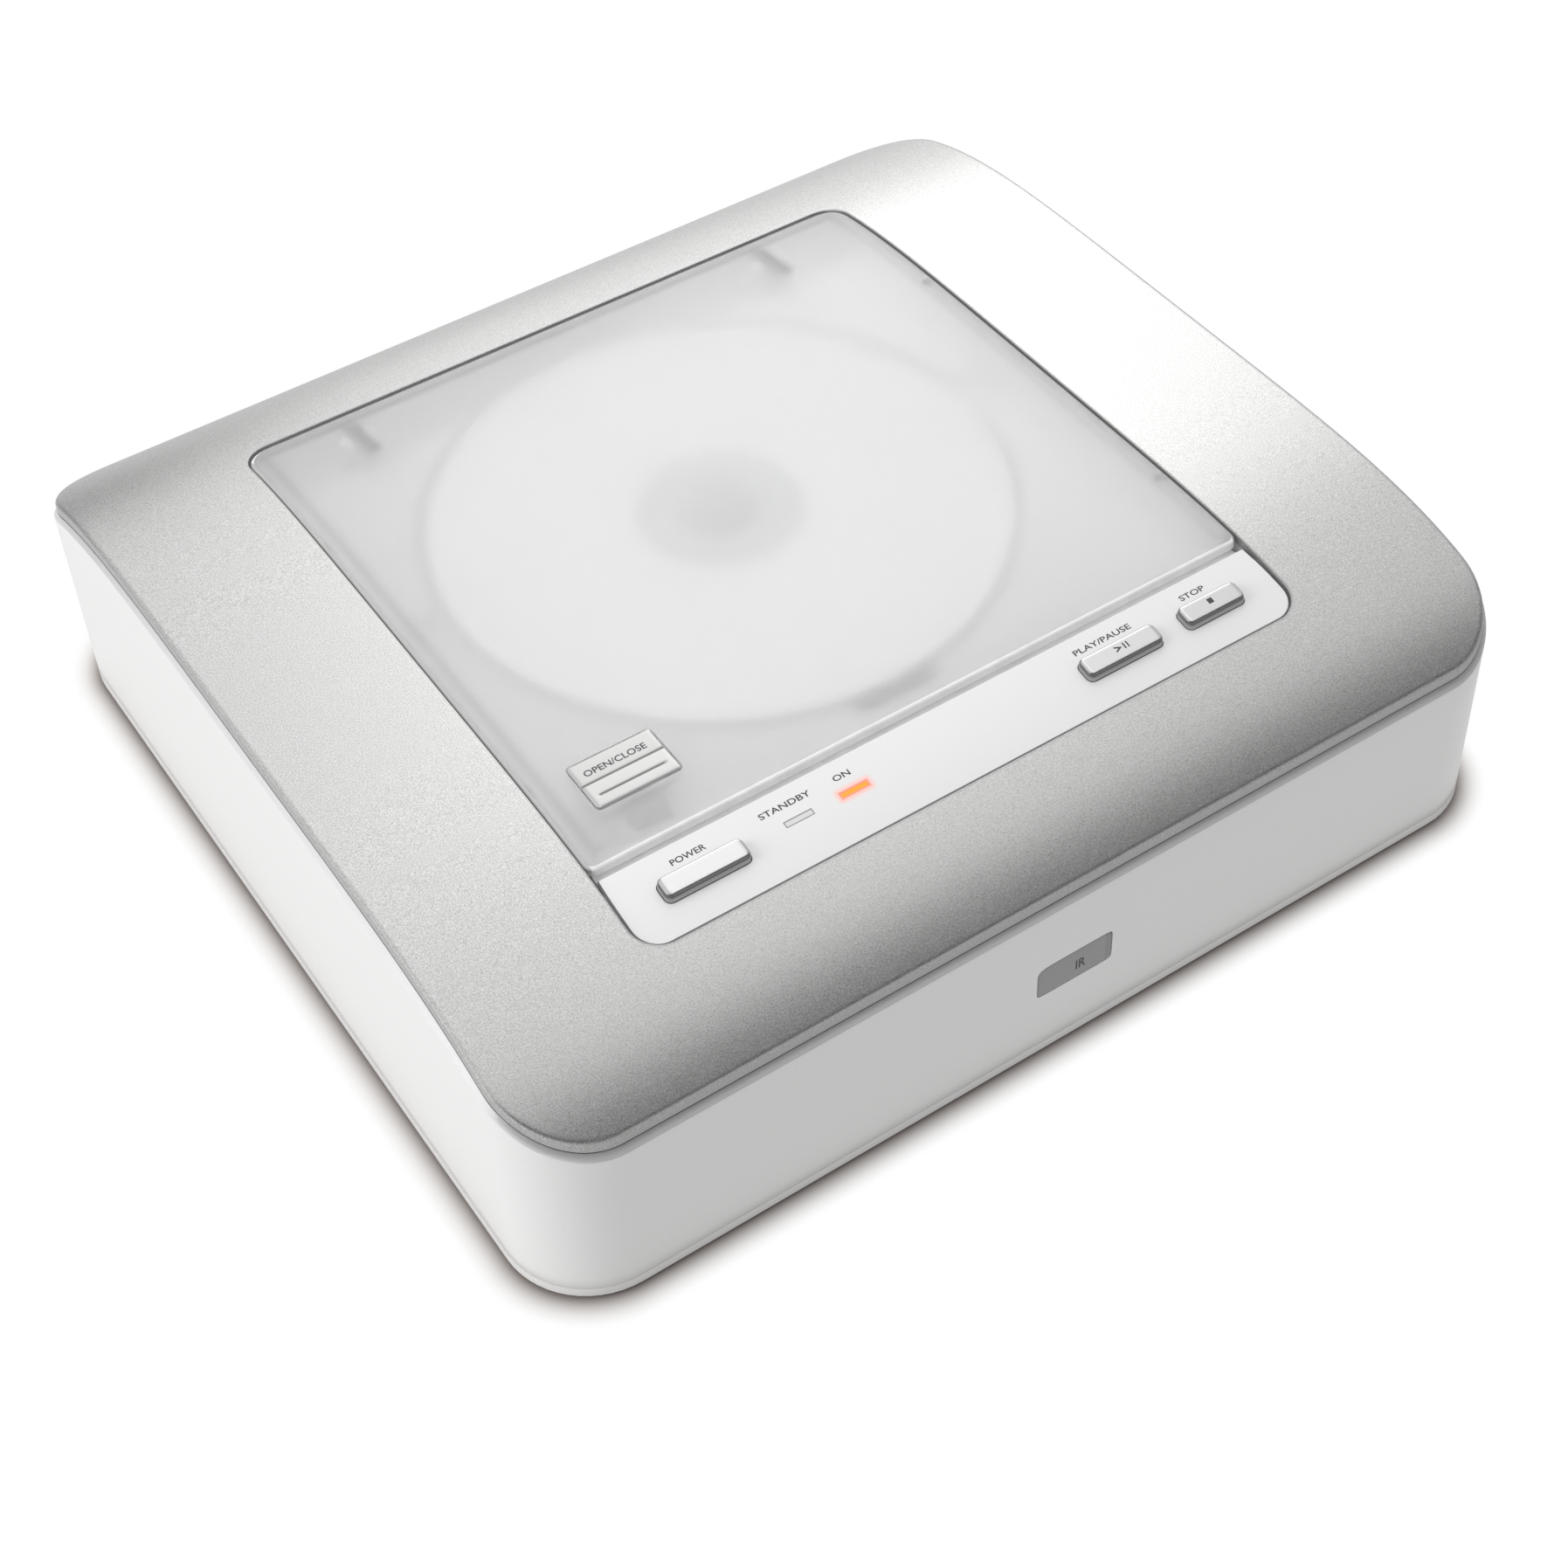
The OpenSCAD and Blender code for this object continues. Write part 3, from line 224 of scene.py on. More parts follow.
def outline(x0, x1, y0, y1, r, xs=24, ys=72, corner=20):
    """Rounded rectangle, anticlockwise from the right side's front end: points and outward normals. The
    straight sides have even steps, or the X values given in xs; the corners are arcs of radius r, or of four
    radii from the back right corner on."""
    r = np.broadcast_to(np.asarray(r, float), 4)
    quarter = np.linspace(0, math.pi / 2, corner + 1)

    def steps(low, high, n):
        """The points between two ends: n even steps, or the values given."""
        return np.linspace(low, high, n + 1)[1:-1] if np.ndim(n) == 0 else n

    up, back = steps(y0 + r[3], y1 - r[0], ys), steps(x0 + r[1], x1 - r[0], xs)
    fall, near = steps(y0 + r[2], y1 - r[1], ys), steps(x0 + r[2], x1 - r[3], xs)
    sides = [np.column_stack(np.broadcast_arrays(x, y)) for x, y in
             ((x1, up), (back[::-1], y1), (x0, fall[::-1]), (near, y0))]
    centres = [(x1 - r[0], y1 - r[0]), (x0 + r[1], y1 - r[1]), (x0 + r[2], y0 + r[2]), (x1 - r[3], y0 + r[3])]
    pts, nrm = [], []
    for k in range(4):
        flat = k * math.pi / 2
        pts.append(sides[k])
        nrm.append(np.tile([math.cos(flat), math.sin(flat)], (len(sides[k]), 1)))
        n = np.stack([np.cos(flat + quarter), np.sin(flat + quarter)], 1)
        pts.append(np.array(centres[k]) + r[k] * n)
        nrm.append(n)
    return np.concatenate(pts), np.concatenate(nrm)


def swept(line, out, section):
    """Carries a section round a line: each (inset, height) pair is a row of points set in along the normals.
    Height is a number, or a function of the row's Y values."""
    rows = []
    for inset, height in section:
        p = line - out * inset
        z = height(p[:, 1]) if callable(height) else np.full(len(p), height)
        rows.append(np.column_stack([p, z]))
    return np.stack(rows)


def over_rim(lift):
    """Height function for swept: the arch and a lift."""
    return lambda y: rim(y) + lift


def effect(name, inputs, outputs):
    """Empty shader node group with float inputs and outputs."""
    g = bpy.data.node_groups.new(name, "ShaderNodeTree")
    for key, value in inputs.items():
        g.interface.new_socket(key, in_out="INPUT", socket_type="NodeSocketFloat").default_value = value
    for key in outputs:
        g.interface.new_socket(key, in_out="OUTPUT", socket_type="NodeSocketFloat")
    return g, g.nodes.new("NodeGroupInput"), g.nodes.new("NodeGroupOutput")


# Fine tooth of a moulded or painted skin: a height for bump and a small change of value.
grain, asked, given = effect("skin_grain", {"Scale": 900.0, "Depth": 1.0}, ["Height", "Shade"])
speckle = node(grain, "TexNoise", ("Vector", node(grain, "TexCoord").outputs["Object"]),
               ("Scale", asked.outputs["Scale"]), ("Detail", 3.0), ("Roughness", 0.65)).outputs["Fac"]
relief = node(grain, "Math", (0, speckle), (1, asked.outputs["Depth"]), operation="MULTIPLY")
grain.links.new(relief.outputs[0], given.inputs["Height"])
grain.links.new(speckle, given.inputs["Shade"])
SPECKLE_SPAN = (0.3, 0.7)


def tooth(tree, shader, scale, depth, distance, rough=None, spread=None):
    """Adds the skin grain. Its height makes bump; its shade changes the roughness over a span, and the base
    colour by a share up and down."""
    skin = node(tree, "Group", ("Scale", scale), ("Depth", depth), node_tree=grain)
    bump = node(tree, "Bump", ("Strength", 1.0), ("Distance", distance), ("Height", skin.outputs["Height"]))
    tree.links.new(bump.outputs[0], shader.inputs["Normal"])
    if rough:
        tree.links.new(mapped(tree, skin.outputs["Shade"], SPECKLE_SPAN, rough), shader.inputs["Roughness"])
    if spread:
        color = shader.inputs["Base Color"].default_value[:3]
        darker, lighter = ([min(1, v * (1 + s)) for v in color] for s in (-spread, spread))
        share = mapped(tree, skin.outputs["Shade"], SPECKLE_SPAN)
        tree.links.new(mixed(tree, share, darker, lighter), shader.inputs["Base Color"])


gloss_white, shader, tree = new_material("gloss_white", (0.86, 0.86, 0.855), 0.32, IOR=1.46, Coat_Weight=0.25,
                                         Coat_Roughness=0.12)
tooth(tree, shader, 1400, 0.5, 0.00001, rough=(0.28, 0.36), spread=0.01)


def box_mm(name):
    """Lowest and highest corner of a CAD node, in millimetres."""
    return (np.array(corner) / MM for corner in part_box(name))


def grid_lines(*parts):
    """All the parts' values in order, to a thousandth of a millimetre, and each of them once."""
    return np.unique(np.round(np.concatenate(parts), 3))


# The wall's grid has lines on the edges of the window in front and of the openings behind.
WINDOW = dict(cx=2.05, cz=21.5, w=17.7, h=8.2, soft=7, sharp=12)
WINDOW_MARGIN = 1.4
OPENING_FIT = 0.05
win_x = WINDOW["cx"] + np.array([-1, 1]) * (WINDOW["w"] / 2 + WINDOW_MARGIN)
win_z = WINDOW["cz"] + np.array([-1, 1]) * (WINDOW["h"] / 2 + WINDOW_MARGIN)
bay_x, inlet_x = ((low[0] - OPENING_FIT, high[0] + OPENING_FIT) for low, high in
                  (box_mm("jack_panel"), box_mm("mains_inlet")))
bay_z, inlet_z, vent_z = (9.0, 30.0), (10.0, 28.0), (11.0, 31.0)
VENT_X, VENT_STEP, VENTS, VENT_W = -60.0, 5.0, 10, 2.0
vents = [(x, x + VENT_W) for x in VENT_X + VENT_STEP * np.arange(VENTS)]
straight_x = WIDTH / 2 - CORNER
xs = grid_lines(np.linspace(-straight_x, straight_x, 46)[1:-1], np.linspace(*win_x, 29), bay_x, inlet_x,
                np.ravel(vents))
WALL_FOOT = 3.05
zs = grid_lines([WALL_FOOT, 3.3, 6, 34], np.linspace(*win_z, 15), bay_z, inlet_z, vent_z)


def finished(name, mesh, material, body, crease=38):
    """Makes the piece from its mesh, shades it smooth between its creases, and puts it on a body."""
    mesh.polygons.foreach_set("use_smooth", np.ones(len(mesh.polygons), dtype=bool))
    mesh.set_sharp_from_angle(angle=math.radians(crease))
    mesh.materials.append(material)
    obj = bpy.data.objects.new(name, mesh)
    scene.collection.objects.link(obj)
    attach(obj, body)
    return obj


def mesh_of(name, points, faces):
    """Mesh from points in millimetres and quads as index arrays. The quads are turned to face outwards by the
    signed volume, and a quad that names its last point twice is a triangle."""
    p = np.asarray(points, float).reshape(-1, 3) * MM
    f = np.asarray(faces, int)
    a, b, c, d = (p[f[:, k]] for k in range(4))
    volume = (np.einsum("ij,ij->i", a, np.cross(b, c)) + np.einsum("ij,ij->i", a, np.cross(c, d))).sum()
    if volume < 0:
        f = f[:, ::-1]
    mesh = bpy.data.meshes.new(name)
    tris = f[:, 2] == f[:, 3]
    mesh.from_pydata(p.tolist(), [], [row[:3] if t else row for row, t in zip(f.tolist(), tris.tolist())])
    mesh.update()
    return mesh


def ring_faces(rows, cols, close_rows=True):
    """Quads of a grid of rows by cols whose columns close round, and whose last row joins the first if asked:
    row i, column j joins row i + 1 and column j + 1, counted round."""
    i = np.arange(rows if close_rows else rows - 1)[:, None]
    j = np.arange(cols)[None, :]
    k = (i + 1) % rows
    m = (j + 1) % cols
    return np.stack([i * cols + j, i * cols + m, k * cols + m, k * cols + j], -1).reshape(-1, 4)


wall_line, wall_out = outline(-WIDTH / 2, WIDTH / 2, -DEPTH / 2, DEPTH / 2, CORNER, xs=xs)
outer_wall = [(0.12, zs[0])] + [(0, z) for z in zs[1:]] + [(0, over_rim(-0.2)), (0.2, over_rim(0))]
inner_wall = [(WALL - 0.1, over_rim(0)), (WALL, over_rim(-0.1))] + [(WALL, z) for z in zs[::-1]]
wall_rows = swept(wall_line, wall_out, outer_wall + inner_wall)
n_rows, n_cols = wall_rows.shape[:2]
points = [wall_rows.reshape(-1, 3)]
grid = ring_faces(n_rows, n_cols)
face_row, face_col = np.divmod(np.arange(len(grid)), n_cols)
keep = np.ones(len(grid), bool)
lining = []


def rounded_loop(loop, cx, cz, w, h, soft, sharp):
    """Pulls a loop in a plane of constant Y onto a rounded rectangle, along rays from the centre. The edge
    is a superellipse |x|^n + |z|^n = 1, with a lower n, so a softer corner, in the upper left quarter."""
    u = (loop[:, [0, 2]] - [cx, cz]) / [w / 2, h / 2]
    n = np.where((u[:, 0] < 0) & (u[:, 1] > 0), soft, sharp)
    scale = (np.abs(u[:, 0]) ** n + np.abs(u[:, 1]) ** n) ** (-1 / n)
    p = loop.copy()
    p[:, [0, 2]] = [cx, cz] + u * scale[:, None] * [w / 2, h / 2]
    return p


def open_wall(x_pair, z_pair, y_side, rounded=None):
    """Cuts an opening between grid lines through both faces of the wall, and lines it with quads. Where it is
    rounded, a fan of quads joins the grid to a rounded loop first."""
    on_side = np.flatnonzero((np.abs(wall_line[:, 1] - y_side) < 1e-6) & (np.abs(wall_out[:, 0]) < 1e-9))
    col = sorted(int(on_side[np.argmin(np.abs(wall_line[on_side, 0] - x))]) for x in x_pair)
    low, high = (int(np.argmin(np.abs(zs - z))) for z in z_pair)
    far_low, far_high = n_rows - 1 - low, n_rows - 1 - high
    cols = (face_col >= col[0]) & (face_col < col[1])
    keep[cols & (face_row >= low) & (face_row < high)] = False
    keep[cols & (face_row >= far_high) & (face_row < far_low)] = False

    def border(bottom, top):
        """Numbers of the grid points round the opening, from its lower left, between two rows."""
        step = 1 if top > bottom else -1
        return np.concatenate([bottom * n_cols + np.arange(col[0], col[1]),
                               np.arange(bottom, top, step) * n_cols + col[1],
                               top * n_cols + np.arange(col[1], col[0], -1),
                               np.arange(top, bottom, -step) * n_cols + col[0]])

    edges = [border(low, high), border(far_low, far_high)]
    if rounded:
        flat = np.concatenate(points)
        for k, edge in enumerate(edges):
            total = sum(len(v) for v in points)
            points.append(rounded_loop(flat[edge], **rounded))
            inner = total + np.arange(len(edge))
            quad = [edge, np.roll(edge, -1), np.roll(inner, -1), inner]
            lining.append(np.stack(quad if k == 0 else quad[::-1], 1))
            edges[k] = inner
    a, b = edges
    lining.append(np.stack([a, np.roll(a, -1), np.roll(b, -1), b], 1))


open_wall(win_x, win_z, -DEPTH / 2, WINDOW)
open_wall(bay_x, bay_z, DEPTH / 2)
open_wall(inlet_x, inlet_z, DEPTH / 2)
for pair in vents:
    open_wall(pair, vent_z, DEPTH / 2)
wall_mesh = mesh_of("cabinet_wall", np.concatenate(points), np.concatenate([grid[keep]] + lining))
cabinet_wall = finished("cabinet_wall", wall_mesh, gloss_white, "housing")
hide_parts("cabinet")

# ---------------------------------------------------------------------------
# Bottom cover: the white floor of the case with its vents and screw posts, and
# four rubber feet pressed into it.
# ---------------------------------------------------------------------------


def dress(name, material):
    """Gives a CAD node a material."""
    for slot in nodes[name].material_slots:
        slot.material = material


def coloured(names, finish, color, rough, skin, metal=0.0, span=None, spread=None, **sockets):
    """Makes a material and gives it to CAD nodes. Skin is the grain's scale, depth and distance; span and
    spread are the change of roughness and of colour that it makes."""
    material, shader, tree = new_material(finish, color, rough, metal, **sockets)
    tooth(tree, shader, *skin, rough=span, spread=spread)
    for name in names.split():
        dress(name, material)


dress("bottom_cover", gloss_white)
coloured("feet turntable_pad lid_bumpers",
         "dark_rubber", (0.035, 0.035, 0.036), 0.85, (1500, 1.0, 0.00003), spread=0.2)

# ---------------------------------------------------------------------------
# Trim ring: a sloped plastic band in grey satin paint. It is seated on the
# cabinet's edge and carries the cover.
# ---------------------------------------------------------------------------


def mark(mesh, attribute, values):
    """Writes one value for each point of a mesh."""
    values = np.asarray(values, np.float32).ravel()
    mesh.attributes.new(attribute, "FLOAT", "POINT").data.foreach_set("value", values)


def marked(tree, attribute):
    """Output with the values that mark wrote."""
    return node(tree, "Attribute", attribute_name=attribute).outputs["Fac"]


def toned(tree, shader, share, tone):
    """Mixes what feeds the base colour towards a grey tone as the share goes from 0 to 1."""
    base = shader.inputs["Base Color"]
    tree.links.new(mixed(tree, share, base.links[0].from_socket, (tone, tone, tone)), base)


SEAT = 0.05
BAND = 0.95
BAND_IN, BAND_LEG = 3.4, 3.0
COVER_IN = 0.9
body_line, body_out = outline(-WIDTH / 2, WIDTH / 2, -DEPTH / 2, DEPTH / 2, CORNER)
satin_grey, shader, tree = new_material("satin_grey", (0.52, 0.52, 0.52), 0.38, 0.5)
tooth(tree, shader, 1600, 0.6, 0.00002, rough=(0.34, 0.42), spread=0.03)
band_section = [(inset, over_rim(lift)) for inset, lift in (
    (0.0, SEAT), (0.0, 0.12), (0.12, 0.24), (COVER_IN - SEAT, BAND - SEAT), (BAND_IN, BAND - 2 * SEAT),
    (BAND_IN, -BAND_LEG), (WALL + 0.1, -BAND_LEG), (WALL + 0.1, SEAT))]
# Painted light: the band is painted lighter where it faces left, the side the light comes from.
toned(tree, shader, marked(tree, "painted_left_light"), 0.95)
band_rows = swept(body_line, body_out, band_section)
trim_mesh = mesh_of("trim_band", band_rows, ring_faces(*band_rows.shape[:2]))
leftward = np.clip(-body_out[:, 0], 0, 1)
mark(trim_mesh, "painted_left_light", np.tile(0.65 * leftward, (len(band_section), 1)))
trim = finished("trim_band", trim_mesh, satin_grey, "housing")
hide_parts("trim_ring")

# ---------------------------------------------------------------------------
# Top cover: one arched skin in silver paint with fine metal flake. Its edge is
# a short upright rim, and its opening is shared by the lid and the key panel.
# ---------------------------------------------------------------------------
EDGE = 2.55
EDGE_ROLL = 0.7
SKIN = 2.0
OPEN = (-75.0, 75.0, -83.0, 78.4, 6.0)
silver, shader, tree = new_material("flake_silver", (0.62, 0.62, 0.615), 0.4, 0.85)
tooth(tree, shader, 3600, 1.0, 0.00003, rough=(0.28, 0.42), spread=0.32)
# Painted shade: the paint darkens towards black by a value written on the seam, rim and lip rows.
toned(tree, shader, marked(tree, "painted_edge_shade"), 0.03)
top = BAND + EDGE
open_line, open_out = outline(*OPEN)


def between(a, b, t, lift):
    """Rows of points that go from line a to line b at the given fractions, laid on the arch at a lift."""
    xy = a[None] + (b - a)[None] * np.asarray(t)[:, None, None]
    return np.concatenate([xy, (rim(xy[..., 1]) + lift)[..., None]], -1)


def arc(x, z, r, a0, a1, n=6):
    """Section points (inset, lift) on an arc about (x, z)."""
    a = np.radians(np.linspace(a0, a1, n))
    return list(zip(x + r * np.cos(a), z + r * np.sin(a)))


rim_part = [(COVER_IN + 0.3, BAND + 0.02), (COVER_IN, BAND + 0.12), (COVER_IN, BAND + 0.32),
            (COVER_IN, BAND + 0.42)]
rim_part += arc(COVER_IN + EDGE_ROLL, top - EDGE_ROLL, EDGE_ROLL, 180, 90, 7)
outer_rows = swept(body_line, body_out, [(inset, over_rim(z)) for inset, z in rim_part])
skin_rows = between(body_line - body_out * (COVER_IN + EDGE_ROLL), open_line + open_out * 0.6,
                    np.linspace(0, 1, 30)[1:] ** 1.25, top)
lip_rows = swept(open_line, open_out, [(inset, over_rim(top - z)) for inset, z in (
    (-0.3, 0), (-0.08, 0.08), (0, 0.3), (0, SKIN))])
under_rows = between(open_line, body_line - body_out * (COVER_IN + SKIN), np.linspace(0, 1, 8)[1:],
                     top - SKIN)
foot_rows = swept(body_line, body_out, [(COVER_IN + inset, over_rim(BAND)) for inset in (SKIN, 0.4)])
cover_rows = np.concatenate([outer_rows, skin_rows, lip_rows, under_rows, foot_rows])
cover_mesh = mesh_of("cover_skin", cover_rows, ring_faces(*cover_rows.shape[:2]))
# Painted shade by rows: shade in the seam, a dark reflection on the upright rim, painted less dark on the
# left where the light falls, and shade on the opening's lip.
SEAM_SHADE, RIM_SHADE, LIP_SHADE = [1, 1, 0.9], [0.32, 0.32, 0.32, 0.34, 0.36, 0.3, 0.2, 0.1], 0.35
painted_edge_shade = np.zeros(cover_rows.shape[:2])
painted_edge_shade[:len(outer_rows)] = np.array(SEAM_SHADE + RIM_SHADE)[:, None]
painted_edge_shade[len(SEAM_SHADE):len(outer_rows)] *= 1 - 0.75 * leftward
lip = len(outer_rows) + len(skin_rows)
painted_edge_shade[lip:lip + len(lip_rows) - 1] = LIP_SHADE
mark(cover_mesh, "painted_edge_shade", painted_edge_shade)
cover = finished("cover_skin", cover_mesh, silver, "housing")
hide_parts("top_cover")

# ---------------------------------------------------------------------------
# Deck: the light grey moulding under the lid, with the disc well, finger
# notches, pickup slot and the trench for the lid's back edge.
# ---------------------------------------------------------------------------
deck_grey, shader, tree = new_material("deck_grey", (0.68, 0.68, 0.68), 0.55)
tooth(tree, shader, 1200, 0.8, 0.00002, rough=(0.5, 0.62), spread=0.02)
# Painted sheen: the deck is lighter towards the back right, standing in for light from that side.
place = node(tree, "TexCoord").outputs["Object"]
back_right_sheen = node(tree, "VectorMath", (0, place), (1, (1.0, 0.7, 0)), operation="DOT_PRODUCT").outputs["Value"]
toned(tree, shader, mapped(tree, back_right_sheen, (-0.03, 0.115)), 0.98)
dress("deck", deck_grey)

# ---------------------------------------------------------------------------
# Button panel: a gloss white strip set a little below the cover, which drops
# away under the lid. It has holes for three keys and two lamp lenses.
# ---------------------------------------------------------------------------
panel_low, panel_high = box_mm("button_panel")
PANEL_DROP, PANEL_T, FOLD_Y, FOLD_L, FOLD_DROP = 0.6, 2.0, -65.6, 1.0, 1.9
LID_T, LID_SINK, LID_CLEAR = 2.2, 0.1, 1.2
tail_z = rim(panel_high[1]) + top - LID_SINK - LID_T - LID_CLEAR


def panel_top(y):
    """Panel height: the arch less a step, then a straight fall behind the fold to the panel's tail."""
    arch_z = rim(y) + top - PANEL_DROP
    fold_z = rim(FOLD_Y) + top - PANEL_DROP
    knee_y = FOLD_Y + FOLD_L
    drop = fold_z - FOLD_DROP * np.clip((y - FOLD_Y) / FOLD_L, 0, 1)
    run = np.clip((y - knee_y) / (panel_high[1] - knee_y), 0, 1)
    tail = (fold_z - FOLD_DROP) + (tail_z - fold_z + FOLD_DROP) * run
    return np.where(y <= FOLD_Y, arch_z, np.where(y <= knee_y, drop, tail))


KEYS = {"power": (-57.1, 18.6), "play_pause": (37.0, 18.6), "stop": (59.1, 14.8)}
KEY_Y, KEY_D, KEY_SLIM, HOLE_R = -74.0, 5.2, 0.2, 1.5
LAMPS = {"standby": -36.2, "on": -24.0}
LAMP_Y, LAMP_W, LAMP_D = -73.1, 6.2, 1.4
PANEL_FIT = 0.22
half, front = panel_high[0] - PANEL_FIT, panel_low[1] + PANEL_FIT
front_r, bend_y, bend_r = 5.0, -75.2, 110.0


def panel_half_width(y):
    """Half width: a quarter circle at the front corners, straight, then an arc that bends inwards behind
    bend_y."""
    w = np.full(np.shape(y), half)
    near = np.clip(front + front_r - y, 0, front_r)
    w = w - front_r + np.sqrt(np.maximum(front_r ** 2 - near ** 2, 0))
    back = np.clip(y - bend_y, 0, bend_r)
    return w - bend_r + np.sqrt(bend_r ** 2 - back ** 2)


def cuts(centre, width, gap):
    """The two edges of a width about its centre, each a gap further out."""
    return [centre - width / 2 - gap, centre + width / 2 + gap]


def soft_cuts(centre, width, r):
    """Grid lines on both sides of a hole, with more of them over its rounded corners."""
    inward = r * (1 - np.sin(np.radians([0, 20, 38, 56, 74, 90])))
    return np.concatenate([centre - width / 2 + inward, centre + width / 2 - inward])


HOLE_FIT = -KEY_SLIM + 0.12
holes = [(*cuts(x, w, HOLE_FIT), *cuts(KEY_Y, KEY_D, HOLE_FIT)) for x, w in KEYS.values()]
GRID_HALF = 68
col = grid_lines(np.linspace(-GRID_HALF, GRID_HALF, 60), *(cuts(x, LAMP_W, 0) for x in LAMPS.values()),
                 *(soft_cuts(x, w + 2 * HOLE_FIT, HOLE_R) for x, w in KEYS.values()))
row = grid_lines(front + front_r * (1 - np.cos(np.linspace(0, math.pi / 2, 12))),
                 np.linspace(front + front_r, panel_high[1], 26), cuts(FOLD_Y, 0, 0.2),
                 cuts(FOLD_Y + FOLD_L, 0, 0.2), soft_cuts(KEY_Y, KEY_D + 2 * HOLE_FIT, HOLE_R),
                 cuts(LAMP_Y, LAMP_D, 0))
side_t = np.linspace(0, 1, 7)[1:]
wide = panel_half_width(row)[:, None]
left_x = -GRID_HALF - (wide - GRID_HALF) * side_t[::-1]
grid_x = np.concatenate([left_x, np.tile(col, (len(row), 1)), -left_x[:, ::-1]], 1)
grid_y = np.tile(row[:, None], (1, grid_x.shape[1]))
solid = np.ones((len(row) - 1, grid_x.shape[1] - 1), bool)
mid_x = (grid_x[0, 1:] + grid_x[0, :-1]) / 2
mid_y = (row[1:] + row[:-1]) / 2
for x0, x1, y0, y1 in holes:
    solid &= ~(((mid_y > y0) & (mid_y < y1))[:, None] & ((mid_x > x0) & (mid_x < x1))[None])
for x in LAMPS.values():
    solid &= ~((np.abs(mid_y - LAMP_Y) < LAMP_D / 2)[:, None] & (np.abs(mid_x - x) < LAMP_W / 2)[None])


def plate_with_holes(x, y, z_top, z_low, solid):
    """Closed plate over the grid cells that are solid: top and bottom quads, and a wall quad on each cell
    side whose neighbour is open. Gives back points and faces."""
    rows, cols = x.shape
    pts = np.concatenate([np.stack([x, y, z], -1).reshape(-1, 3) for z in (z_top, z_low)])
    i, j = np.nonzero(solid)
    a, b, c, d = i * cols + j, i * cols + j + 1, (i + 1) * cols + j + 1, (i + 1) * cols + j
    n = rows * cols
    faces = [np.stack([a, b, c, d], 1), np.stack([d, c, b, a], 1) + n]
    ring = np.pad(solid, 1)
    core = ring[1:-1, 1:-1]
    sides = [(~ring[:-2, 1:-1], (0, 0), (0, 1)), (~ring[2:, 1:-1], (1, 1), (1, 0)),
             (~ring[1:-1, :-2], (1, 0), (0, 0)), (~ring[1:-1, 2:], (0, 1), (1, 1))]
    for open_side, first, second in sides:
        i, j = np.nonzero(core & open_side)
        p = (i + first[0]) * cols + j + first[1]
        q = (i + second[0]) * cols + j + second[1]
        faces.append(np.stack([p, p + n, q + n, q], 1))
    return pts, np.concatenate(faces)


# The corners of each hole are rounded: points outside the corner's circle move in to it.
for x0, x1, y0, y1 in holes:
    inside = (grid_x > x0 - 0.01) & (grid_x < x1 + 0.01) & (grid_y > y0 - 0.01) & (grid_y < y1 + 0.01)
    from_x = grid_x - np.clip(grid_x, x0 + HOLE_R, x1 - HOLE_R)
    from_y = grid_y - np.clip(grid_y, y0 + HOLE_R, y1 - HOLE_R)
    far = np.hypot(from_x, from_y)
    moved = inside & (far > HOLE_R)
    shrink = np.where(moved, HOLE_R / np.maximum(far, 1e-9), 1)
    grid_x, grid_y = grid_x - from_x * (1 - shrink), grid_y - from_y * (1 - shrink)
panel_z = panel_top(grid_y)
panel_mesh = mesh_of("key_panel", *plate_with_holes(grid_x, grid_y, panel_z, panel_z - PANEL_T, solid))
panel_white, shader, tree = new_material("panel_white", (0.74, 0.74, 0.74), 0.22, IOR=1.48)
tooth(tree, shader, 1400, 0.5, 0.00001, rough=(0.2, 0.27))
# How near a point is to an upright rectangular column: 1 inside it, fading to 0 at its reach, in metres.
COLUMN = ("X", "Y", "Half width", "Half depth", "Reach")
halo, asked, given = effect("near_column", dict(zip(COLUMN, (0.0, 0.0, 0.003, 0.001, 0.0015))), ["Near"])
place = node(halo, "SeparateXYZ", (0, node(halo, "TexCoord").outputs["Object"]))
past = []
for axis, side in (("X", "Half width"), ("Y", "Half depth")):
    value = place.outputs[axis]
    for step, other in (("SUBTRACT", asked.outputs[axis]), ("ABSOLUTE", 0.0),
                        ("SUBTRACT", asked.outputs[side]), ("MAXIMUM", 0.0)):
        value = node(halo, "Math", (0, value), (1, other), operation=step).outputs[0]
    past.append(value)
apart = node(halo, "CombineXYZ", *enumerate(past)).outputs[0]
apart = node(halo, "VectorMath", (0, apart), operation="LENGTH").outputs["Value"]
halo.links.new(mapped(halo, apart, (0.0, asked.outputs["Reach"]), (1.0, 0.0)), given.inputs["Near"])


def tinted_near(tree, into, far_color, near_color, columns):
    """Colours a socket from far_color to near_color round columns, each given as (x, y, half width, half
    depth, reach) in millimetres."""
    mask = None
    for column in columns:
        near = node(tree, "Group", *zip(COLUMN, np.array(column) * MM), node_tree=halo).outputs[0]
        mask = node(tree, "Math", (0, mask), (1, near), operation="MAXIMUM").outputs[0] if mask else near
    tree.links.new(mixed(tree, mask, far_color, near_color), into)


# Painted glow: the panel turns red round the ON lens, standing in for the lamp's light on it.
tinted_near(tree, shader.inputs["Base Color"], (0.74, 0.74, 0.74), (0.98, 0.48, 0.41),
            [(LAMPS["on"], LAMP_Y, LAMP_W / 2, LAMP_D / 2, 1.2)])
panel = finished("key_panel", panel_mesh, panel_white, "housing")
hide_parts("button_panel")

